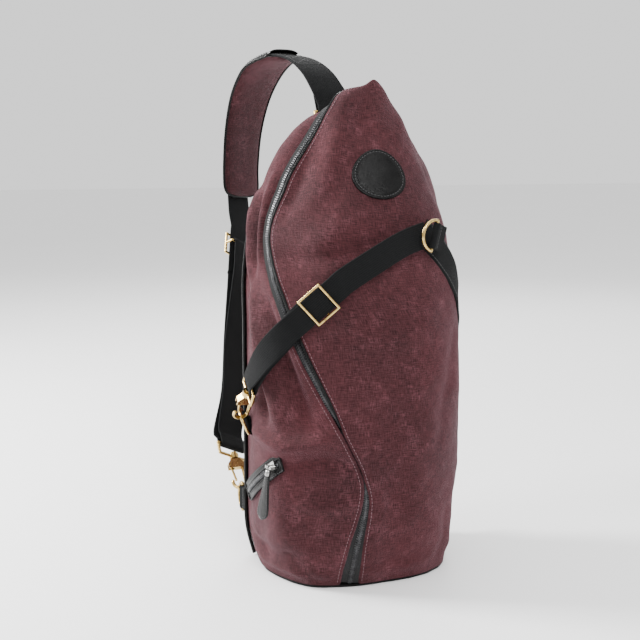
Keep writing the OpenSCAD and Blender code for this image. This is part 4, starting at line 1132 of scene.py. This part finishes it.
# each place: the bar's frame, the tab's lean in degrees and its tail's length
PLACES = {
    "left_upper": (frame_at(LEFT_UP_BAR, LEFT_UP_DIR, [-1, 0, 0]), 18, 15),
    "left_lower": (frame_at(mm(-103, 70, 62), [0, 1, 0], [-1, 0, 0]), 0, 12),
    "right_upper": (frame_at(mm(113, 60, 153), [1, 0.12, 0], [0, 1, 0]), 0, 15),
    "right_lower": (frame_at(mm(113, 60, 63), [1, 0.12, 0], [0, 1, 0]), 0, 15),
    "front_d": (frame_at(mm(50, -66, 344), [-0.93, -0.3, 0.3], [-0.3, 0.9, 0]), -14, 16),
}


def loop_section(place, r, thick, tail):
    """A tab's path and sides: out from its tail, round the ring's bar and back."""
    m, lean, _ = place
    m = m @ turn("Z", lean)
    bend = [(r * math.cos(a), r * math.sin(a), 0) for a in np.linspace(-1.9, 1.9, 11)]
    flat = thick / 2 + 0.05 * MM
    path = [(-tail, -flat, 0), (-tail * 0.7, -flat, 0), (-tail * 0.4, -flat - 0.1 * MM, 0)] + bend
    path += [(-tail * 0.4, flat + 0.1 * MM, 0), (-tail * 0.7, flat, 0), (-tail, flat, 0)]
    return into(m, path), np.tile(m[:3, 2], (len(path), 1)), m


def tabs():
    """The webbing loops that hold the five rings, each sewn across twice."""
    for name, place in PLACES.items():
        r = RING_WIRE / 2 + GAP + 0.8 * MM
        path, sides, m = loop_section(place, r, 1.6 * MM, place[2] * MM)
        run = Run(path, sides, 1.0 * MM)
        tab = webbing(name + "_loop", run, TAB_W, 1.5 * MM, WEBBING)
        rows = []
        for k, y in enumerate((-1, 1)):
            for j, x in enumerate((-4.5 * MM, -6.5 * MM)):
                line = into(m, [(x, y * 1.75 * MM, z) for z in np.linspace(-0.44, 0.44, 12) * TAB_W])
                rows.append(strap_row(f"{name}_row_{k}{j}", line, 0 * line + y * m[:3, 1]))
        place_on(join(name + "_webbing", [tab, *rows]), BAG, "webbing", name + "_tab")


def round_bar(y0, z0, r, up, from_y, lead=(), tail=()):
    """Points of webbing round a bar along X, with straight points before and after, in mm."""
    turned = [(0, y0 + from_y * r * math.cos(a), z0 + up * r * math.sin(a))
              for a in np.linspace(0, math.pi, 7)]
    return ([(0, y0 + from_y * r, z0 - up * d * MM) for d in lead] + turned
            + [(0, y0 - from_y * r, z0 - up * d * MM) for d in tail])


def straight(a, b):
    """Points on the line between a and b."""
    return [a * (1 - t) + b * t for t in (0.14, 0.32, 0.5, 0.68, 0.86)]


def mid_bar_y(wire, thick, ply):
    """Where a slide's middle bar lies behind its strap, with one ply of webbing between."""
    return -(thick / 2 + 2 * GAP + ply + wire / 2)


FRONT_BAR = (0, 0.8, 0.6)
FRONT_HOOK = hook_frame(LEFT_UP_BAR + RING_D / 2 * LEFT_UP_DIR, unit([0.06, -0.6, 0.8]), FRONT_BAR)
FRONT_PLY = EYE_WIRE / 2 + GAP + TAB_T / 2
RUN_A, RUN_B = mm(-41, -70, 306), mm(-93, -49, 256)
RUN_SIDE, CURL_SIDE = (-0.66, 0.12, 0.75), (-0.35, 0.6, 0.7)
BUCKLE = slide_frame(RUN_A, RUN_B, RUN_SIDE, 0.45)


def strap_row(name, line, out, lift=0.05 * MM):
    """A row of the small black stitches that straps and tabs are sewn with."""
    return stitches(name, line, out, BLACK_THREAD, 2.8 * MM, 0.3 * MM, lift)


def box_stitches(name, run, start, length, width, h):
    """A sewn box with a cross, h from the middle of a strap."""
    rows = []
    inside = (run.far >= start) & (run.far <= start + length)
    k = np.flatnonzero(inside)
    t = (run.far[k] - start) / length
    half = width / 2
    for j, offset in enumerate((np.full(len(k), -half), np.full(len(k), half), half * (2 * t - 1),
                                half * (1 - 2 * t))):
        line = run.points[k] + offset[:, None] * run.across[k] + h * run.out[k]
        rows.append(strap_row(f"{name}_{j}", line, run.out[k] * np.sign(h)))
    for j, i in enumerate((k[0], k[-1])):
        line = run.points[i] + np.linspace(-half, half, 14)[:, None] * run.across[i] + h * run.out[i]
        rows.append(strap_row(f"{name}_end_{j}", line, 0 * line + run.out[i] * np.sign(h)))
    return rows


def front_strap():
    """The strap across the front, and the ply that goes back from its hook to the buckle."""
    path = [mm(44, -60, 345), mm(20, -65, 338), mm(-8, -70, 325), RUN_A, *straight(RUN_A, RUN_B), RUN_B,
            mm(-109, -30, 231), *into(FRONT_HOOK, [(0, FRONT_PLY, EYE_BAR_Z + 9 * MM),
                                                   (0, FRONT_PLY, EYE_BAR_Z + 1.3 * MM)])]
    sides = [(-0.3, 0, 0.95), (-0.35, 0, 0.94), (-0.5, 0.05, 0.85), *[RUN_SIDE] * 7, CURL_SIDE,
             FRONT_BAR, FRONT_BAR]
    run = Run(path, sides)
    band = webbing("front_band", run, TAB_W, TAB_T, WEBBING)
    rows = box_stitches("front_box", run, 9 * MM, 18 * MM, TAB_W - 6 * MM, -1.05 * MM)
    place_on(join("front_strap_webbing", [band, *rows]), BAG, "webbing", "front_strap")
    bar_y = mid_bar_y(BUCKLE_WIRE, TAB_T, TAB_T)
    r = BUCKLE_WIRE / 2 + GAP + TAB_T / 2
    eye_end = into(FRONT_HOOK, round_bar(0, EYE_BAR_Z, FRONT_PLY, -1, 1, [0.9], [1.5, 4, 9]))
    buckle_end = into(BUCKLE, round_bar(bar_y, 0, r, 1, -1, [22, 11, 5, 1.5]))
    sides = [FRONT_BAR] * len(eye_end) + [CURL_SIDE] + [tuple(BUCKLE[:3, 0])] * len(buckle_end)
    ply = Run([*eye_end, mm(-105, -24, 229), *buckle_end], sides, 1.2 * MM)
    back_ply = webbing("front_return_webbing", ply, TAB_W, TAB_T, WEBBING)
    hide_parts("front_return")
    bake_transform(back_ply)


def side_strip():
    """The dark strip that ties the strap's root to the side seam, sewn down along both edges."""
    uv = np.array([[5.45, 5.5], [5.95, 4.9], [6.45, 4.2], [7.1, 3.4], [7.75, 2.6]], float)
    s = np.linspace(0, len(uv) - 1, 110)
    at = spline(uv, s)
    line, out = skin(at[:, 0], at[:, 1], 1.9 * MM), outward(at[:, 0], at[:, 1])
    along = unit(np.gradient(line, axis=0))
    side = unit(np.cross(out, along))
    t = np.linspace(-1, 1, 13)
    lift = -1.3 * MM * np.clip((np.abs(t) - 0.86) / 0.14, 0, 1) ** 2
    grid = (line[:, None] + t[None, :, None] * 14.5 * MM * side[:, None]
            + lift[None, :, None] * out[:, None])
    band = sheet("side_band", grid, 1.4 * MM, WEBBING, flip=True)
    rows = [stitches(f"band_row_{k}", line + k * 11.6 * MM * side, out, BLACK_THREAD, 3.4 * MM,
                     0.34 * MM) for k in (-1, 1)]
    place_on(join("side_strip_webbing", [band, *rows]), BAG, "webbing", "side_strip")


# ---------- shoulder strap ----------

STRAP_AXIS = unit([0, 1, 1])
STRAP_HOOK = hook_frame(mm(-103, 70, 62) + RING_D / 2 * STRAP_AXIS, STRAP_AXIS, [0, 1, -1])
STRAP_EYE = STRAP_HOOK @ turn("Z", -53)
STRAP_PLY = EYE_WIRE / 2 + GAP + STRAP_T / 2
SLIDE_THICK = STRAP_T + 2 * (TRIM_T + 0.1 * MM)
RING_LOW, RING_UP, RING_RISE = mm(6, 80, 454), unit([0, 0.5, 0.87]), 11.6 * MM
TOP_RING = axes(RING_LOW, (1, 0, 0), (0, RING_UP[2], -RING_UP[1]), RING_UP)
PAD_POINTS = [mm(-20, 175, 528), mm(-30, 212, 518), mm(-38, 243, 490), mm(-43, 262, 450),
              mm(-45, 270, 405), mm(-45, 268, 370)]
PAD_SIDES = [(0.94, 0.34, 0), (0.9, 0.42, 0.06), (0.86, 0.5, 0.04), (0.82, 0.57, 0.02), (0.8, 0.6, 0),
             (0.8, 0.6, 0)]
PAD_TOP = FOAM_T / 2 + 0.15 * MM
PAD_CROWN = 1.6 * MM
PAD_CURVE = 3.2, 0.7
# where along the pad its overlay stops, the last place that sets its width, and how far its edge
# and its stitches lie inside the pad's
OVERLAY_END, OVERLAY_WIDEST = 4.35, 4.2
OVERLAY_INSET, OVERLAY_SEAM = 3.2 * MM, 5 * MM
SLIDE_A, SLIDE_B, SLIDE_SIDE = mm(-47, 262, 332), mm(-63, 221, 268), (0.8, 0.52, -0.1)
STRAP_SLIDE = slide_frame(SLIDE_A, SLIDE_B, SLIDE_SIDE, 0.36)


def strap_anchor():
    """The webbing sewn into the top of the back panel, folded over the ring's lower bar."""
    r = TOP_RING_WIRE / 2 + GAP + 0.9 * MM
    back = BACK_Y + GAP + 0.9 * MM
    behind = np.array([0, back, 0])
    path = [behind + mm(5, 0, 404), behind + mm(5, 0, 422), behind + mm(5.4, 2, 436),
            *into(TOP_RING, round_bar(0, 0, r, 1, 1)), RING_LOW + mm(0, -7.2, -6.6)]
    run = Run(path, [(1, 0, 0)] * len(path), 1.2 * MM)
    piece = webbing("anchor_webbing", run, STRAP_W, 1.8 * MM, WEBBING)
    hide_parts("strap_anchor")
    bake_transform(piece)
    sewn = [behind + mm(x, 0.95, z)
            for x, z in ((-11, 407), (21, 407), (21, 417), (-11, 417), (-11, 407))]
    line = np.concatenate([np.linspace(a, b, 12) for a, b in zip(sewn, sewn[1:])])
    row = strap_row("anchor_stitches", line, 0 * line + [0, 1, 0], 0.15 * MM)
    place_on(row, BAG, "webbing")


def upper_webbing():
    """The webbing from the top ring up and over to the pad, with its sewn box on both sides."""
    r = TOP_RING_WIRE / 2 + GAP + STRAP_T / 2
    over = into(TOP_RING, round_bar(0, RING_RISE, r, -1, 1, [22, 10, 4, 1.5], [1.5, 4, 9]))
    pad_run = unit(spline(PAD_POINTS, np.array(0.2)) - PAD_POINTS[0])
    path = [*over, mm(2, 98, 489), mm(-3, 117, 507), mm(-10, 143, 521), PAD_POINTS[0] - 1.5 * MM * pad_run,
            PAD_POINTS[0] + 14 * MM * pad_run]
    sides = [*[(1, 0, 0)] * len(over), (1, 0.05, 0), (1, 0.14, 0), (0.97, 0.24, 0), PAD_SIDES[0],
             PAD_SIDES[0]]
    run = Run(path, sides, 1.5 * MM)
    band = webbing("upper_band", run, STRAP_W, STRAP_T, WEBBING)
    sewn = (run, run.far[-1] - 62 * MM, 24 * MM, STRAP_W - 8 * MM)
    rows = box_stitches("upper_box", *sewn, 1.05 * MM) + box_stitches("upper_under", *sewn, -1.05 * MM)
    place_on(join("upper_strap_webbing", [band, *rows]), STRAP, "webbing", "upper_webbing")


def pad_half(s, full=PAD_W / 2):
    """Half the pad's width: narrower at the top and round at its lower end."""
    top = 0.66 + 0.34 * smooth(0, 1.1, s)
    corner = np.clip((s - 4.45) / 0.55, 0, 1)
    return full * top * (0.5 + 0.5 * np.sqrt(np.clip(1 - corner ** 2.2, 0, 1)))


def pad_fullness(x):
    """The pad's height across it, 1 in the middle and 0 at x = -1 and 1."""
    power, root = PAD_CURVE
    return (1 - np.abs(x) ** power) ** root


def pad():
    """The shoulder pad: a crowned leather body, an overlay sewn on it, canvas inside and an edge."""
    body = Run(PAD_POINTS, PAD_SIDES, 3 * MM)
    wrinkle = 0.5 * MM * waves(body.points, 0.05, 41)

    def section(i, low, high, extra, crown):
        half = float(pad_half(body.s[i])) + extra
        end = min(1.0, body.far[i] / (7 * MM) + 0.35, (body.far[-1] - body.far[i]) / (7 * MM) + 0.3)
        x = np.linspace(-1, 1, 15)
        fullness = pad_fullness(x)
        top = [(half * a, (high + crown + wrinkle[i]) * f * end) for a, f in zip(x, fullness)]
        bottom = [(half * a, low * f * end) for a, f in zip(x[::-1][1:-1], fullness[::-1][1:-1])]
        return top + bottom

    leather = swept("pad_body", body, lambda i: section(i, 0.0, FOAM_T / 2, 0, PAD_CROWN), PAD_LEATHER)
    place_on(leather, STRAP, "leather", "pad_foam")
    under = -FOAM_T / 2 - 0.6 * MM
    lining = swept("pad_inner_canvas", body, lambda i: section(i, under, -0.1 * MM, -0.8 * MM, 0), CANVAS)
    place_on(lining, STRAP, "canvas", "pad_lining")
    half = pad_half(body.s)
    ring = np.concatenate([body.line(half), body.line(-half)[::-1]])
    place_on(tube("pad_edge_binding", ring, 1.5 * MM, LEATHER, 10, closed=True), STRAP, "leather")
    cover = body.part(body.s <= OVERLAY_END)
    full_height = FOAM_T / 2 + PAD_CROWN + wrinkle[:len(cover.s)]
    cover_half = pad_half(np.minimum(cover.s, OVERLAY_WIDEST))

    def cover_section(i):
        half = float(cover_half[i]) - OVERLAY_INSET
        x = np.linspace(-1, 1, 15)
        over_strap = 2.5 * MM * smooth(3.6, 4.1, cover.s[i]) * (1 - smooth(0.66, 0.9, np.abs(x)))
        h = full_height[i] * pad_fullness(x * half / cover_half[i]) + over_strap
        top = [(half * a, b + 1.7 * MM - 0.5 * MM * abs(a) ** 6) for a, b in zip(x, h)]
        return top + [(a, b - 1.2 * MM) for a, b in top[::-1]]

    overlay = swept("pad_overlay", cover, cover_section, PAD_LEATHER)
    place_on(overlay, STRAP, "leather", "pad_cover")
    rows = []
    for k, side in enumerate((-1, 1)):
        half = cover_half - OVERLAY_SEAM
        line = cover.line(side * half, full_height * pad_fullness(half / cover_half) + 1.75 * MM)
        rows.append(stitches(f"pad_row_{k}", line[2:-1], cover.out[2:-1], BLACK_THREAD, 3.6 * MM,
                             0.34 * MM))
    place_on(join("pad_stitches", rows), STRAP, "leather")


def low_run():
    """The lower webbing's path and sides, from on top of the pad down to the hook's eye."""
    up = np.array([-0.6, 0.8, 0]) * (PAD_TOP + STRAP_T / 2 + 1.2 * MM)
    eye = into(STRAP_EYE, [(-1 * MM, STRAP_PLY + 1 * MM, EYE_BAR_Z + 18 * MM),
                           (0, STRAP_PLY, EYE_BAR_Z + 8 * MM), (0, STRAP_PLY, EYE_BAR_Z + 1.3 * MM)])
    path = [*(spline(PAD_POINTS, np.array(s)) + up for s in (4.2, 4.75)), mm(-48, 271, 352), SLIDE_A,
            *straight(SLIDE_A, SLIDE_B), SLIDE_B, mm(-77, 187, 212), mm(-91, 149, 156), *eye]
    eye_side = tuple(STRAP_EYE[:3, 0])
    sides = [(0.8, 0.6, 0), (0.8, 0.6, 0), (0.8, 0.56, -0.04), *[SLIDE_SIDE] * 7, (0.8, 0.49, -0.2),
             (0.8, 0.45, -0.32), *[eye_side] * 3]
    return path, sides


def lower_strap():
    """The lower webbing, with a canvas trim sewn along the middle of its outer face."""
    path, sides = low_run()
    run = Run(path, sides)
    band = webbing("lower_strap_webbing", run, STRAP_W, STRAP_T, WEBBING)
    place_on(band, STRAP, "webbing", "lower_webbing")
    trim = Run(path, sides, lift=STRAP_T / 2 + TRIM_T / 2 + 0.1 * MM)
    place_on(webbing("strap_trim_canvas", trim, TRIM_W, TRIM_T, CANVAS), STRAP, "canvas", "webbing_trim")
    beside, above = TRIM_W / 2 - 1.3 * MM, STRAP_T / 2 + TRIM_T + 0.1 * MM
    rows = [stitches(f"trim_row_{k}", run.line(k * beside, above), run.out, PALE_THREAD, 3.6 * MM,
                     0.26 * MM, -0.08 * MM) for k in (-1, 1)]
    place_on(join("trim_stitches", rows), STRAP, "canvas")


def return_ply():
    """The ply that turns round the hook's eye and goes back to the slide's middle bar."""
    bar_y = mid_bar_y(SLIDE_WIRE, SLIDE_THICK, STRAP_T)
    r = SLIDE_WIRE / 2 + GAP + STRAP_T / 2
    eye_end = into(STRAP_EYE, round_bar(0, EYE_BAR_Z, STRAP_PLY, -1, 1, [0.9], [1.5, 4, 9, 20]))
    slide_end = into(STRAP_SLIDE, round_bar(bar_y, 0, r, 1, -1, [40, 20, 10, 5, 1.5]))
    sides = ([tuple(STRAP_EYE[:3, 0])] * len(eye_end) + [(0.8, 0.45, -0.32), (0.8, 0.49, -0.2)]
             + [tuple(STRAP_SLIDE[:3, 0])] * len(slide_end))
    run = Run([*eye_end, mm(-91, 142, 160), mm(-79, 176, 208), *slide_end], sides, 1.4 * MM)
    piece = webbing("return_strap_webbing", run, STRAP_W, STRAP_T, WEBBING)
    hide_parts("return_webbing")
    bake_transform(piece)


# ---------- CAD nodes that keep their shape ----------

KEPT = {
    BRASS: ["front_buckle", "front_hook_eye", "front_hook", "front_hook_gate", "front_d_ring",
            "left_upper_ring", "left_lower_ring", "right_upper_ring", "right_lower_ring", "top_ring",
            "strap_slide", "strap_hook_eye", "strap_hook", "strap_hook_gate"],
    SLIDER: ["main_zip_slider", "back_zip_slider", "side_zip_slider"],
    LINING: ["back_lining", "back_pocket_bag"],
    FOAM: ["back_foam"],
    BOARD: ["base_board"],
}
SOFT_EDGES = {"front_hook": 0.6, "strap_hook": 0.6, "main_zip_slider": 0.35, "back_zip_slider": 0.35,
              "side_zip_slider": 0.35}


def finish_kept_nodes():
    """Gives each CAD node that stays its material, and rounds the edges of hooks and sliders."""
    for material, nodes in KEPT.items():
        for name in nodes:
            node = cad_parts[name]
            node.data.materials.clear()
            node.data.materials.append(material)
            if name in SOFT_EDGES:
                soft = node.modifiers.new("soft_edges", "BEVEL")
                soft.width, soft.segments = SOFT_EDGES[name] * MM, 3
                soft.limit_method, soft.angle_limit = "ANGLE", math.radians(40)
                soft.harden_normals = False


# ---------- camera, light and floor ----------

AZIMUTH, DISTANCE, EYE_Z = math.radians(-22), 1.02, 0.42
LENS, SENSOR = 58, 36
LOOK_X, LOOK_Y, LOOK_DROP = -0.034, 0.02, 0.012
# each lamp: its place, its width and height, and its power in watts
LAMPS = {
    "side_light": ((-1.35, 0.75, 1.05), (0.4, 1.0), 85),
    "front_light": ((-0.15, -1.8, 1.9), (0.8, 0.8), 46),
    "back_light": ((0.9, 1.7, 1.3), (1.0, 1.0), 17),
    "top_light": ((0.1, 0.2, 2.1), (1.2, 1.2), 12),
}
LAMP_TARGET = (0, 0.05, 0.25)
SKY_STRENGTH = 1.25
FLOOR_HALF = 12


def aim(thing, target):
    """Turns a camera or a lamp to face a point."""
    direction = Vector(target) - thing.location
    thing.rotation_euler = direction.to_track_quat("-Z", "Y").to_euler()


def camera():
    data = bpy.data.cameras.new("camera")
    data.lens, data.sensor_width = LENS, SENSOR
    eye = bpy.data.objects.new("camera", data)
    bpy.context.scene.collection.objects.link(eye)
    eye.location = (math.sin(AZIMUTH) * DISTANCE, -math.cos(AZIMUTH) * DISTANCE, EYE_Z)
    middle_z = (cad_low.z + cad_high.z) / 2
    aim(eye, (LOOK_X, LOOK_Y, middle_z - LOOK_DROP))
    bpy.context.scene.camera = eye


def lamp(name, place, size, power):
    data = bpy.data.lights.new(name, "AREA")
    data.shape, data.energy = "RECTANGLE", power
    data.size, data.size_y = size
    thing = bpy.data.objects.new(name, data)
    bpy.context.scene.collection.objects.link(thing)
    thing.location = place
    aim(thing, LAMP_TARGET)


def studio():
    """Four soft lamps, an even white sky and a pale floor."""
    for name, settings in LAMPS.items():
        lamp(name, *settings)
    world = bpy.data.worlds.new("studio")
    world.use_nodes = True
    sky = world.node_tree.nodes["Background"].inputs
    sky["Color"].default_value = (1, 1, 1, 1)
    sky["Strength"].default_value = SKY_STRENGTH
    bpy.context.scene.world = world
    n = Nodes("floor", Specular_IOR_Level=0.2)
    mottle = n.noise(n.place(), 2, 3)
    n.set("Base Color", n.mix(mottle, (0.9, 0.9, 0.9), (0.93, 0.93, 0.93)))
    n.set("Roughness", n.spread(mottle, 0.3, 0.7, 0.7, 0.8))
    corners = [(x * FLOOR_HALF, y * FLOOR_HALF, 0) for x, y in ((-1, -1), (1, -1), (1, 1), (-1, 1))]
    floor = mesh_object("floor", corners, [(0, 1, 2, 3)], n.material)


camera()
studio()
shell()
flap_binding()
back_panel()
piping()
base()
patch()
main_zip()
back_zip()
side_zip()
pulls()
tabs()
front_strap()
side_strip()
strap_anchor()
upper_webbing()
pad()
lower_strap()
return_ply()
finish_kept_nodes()
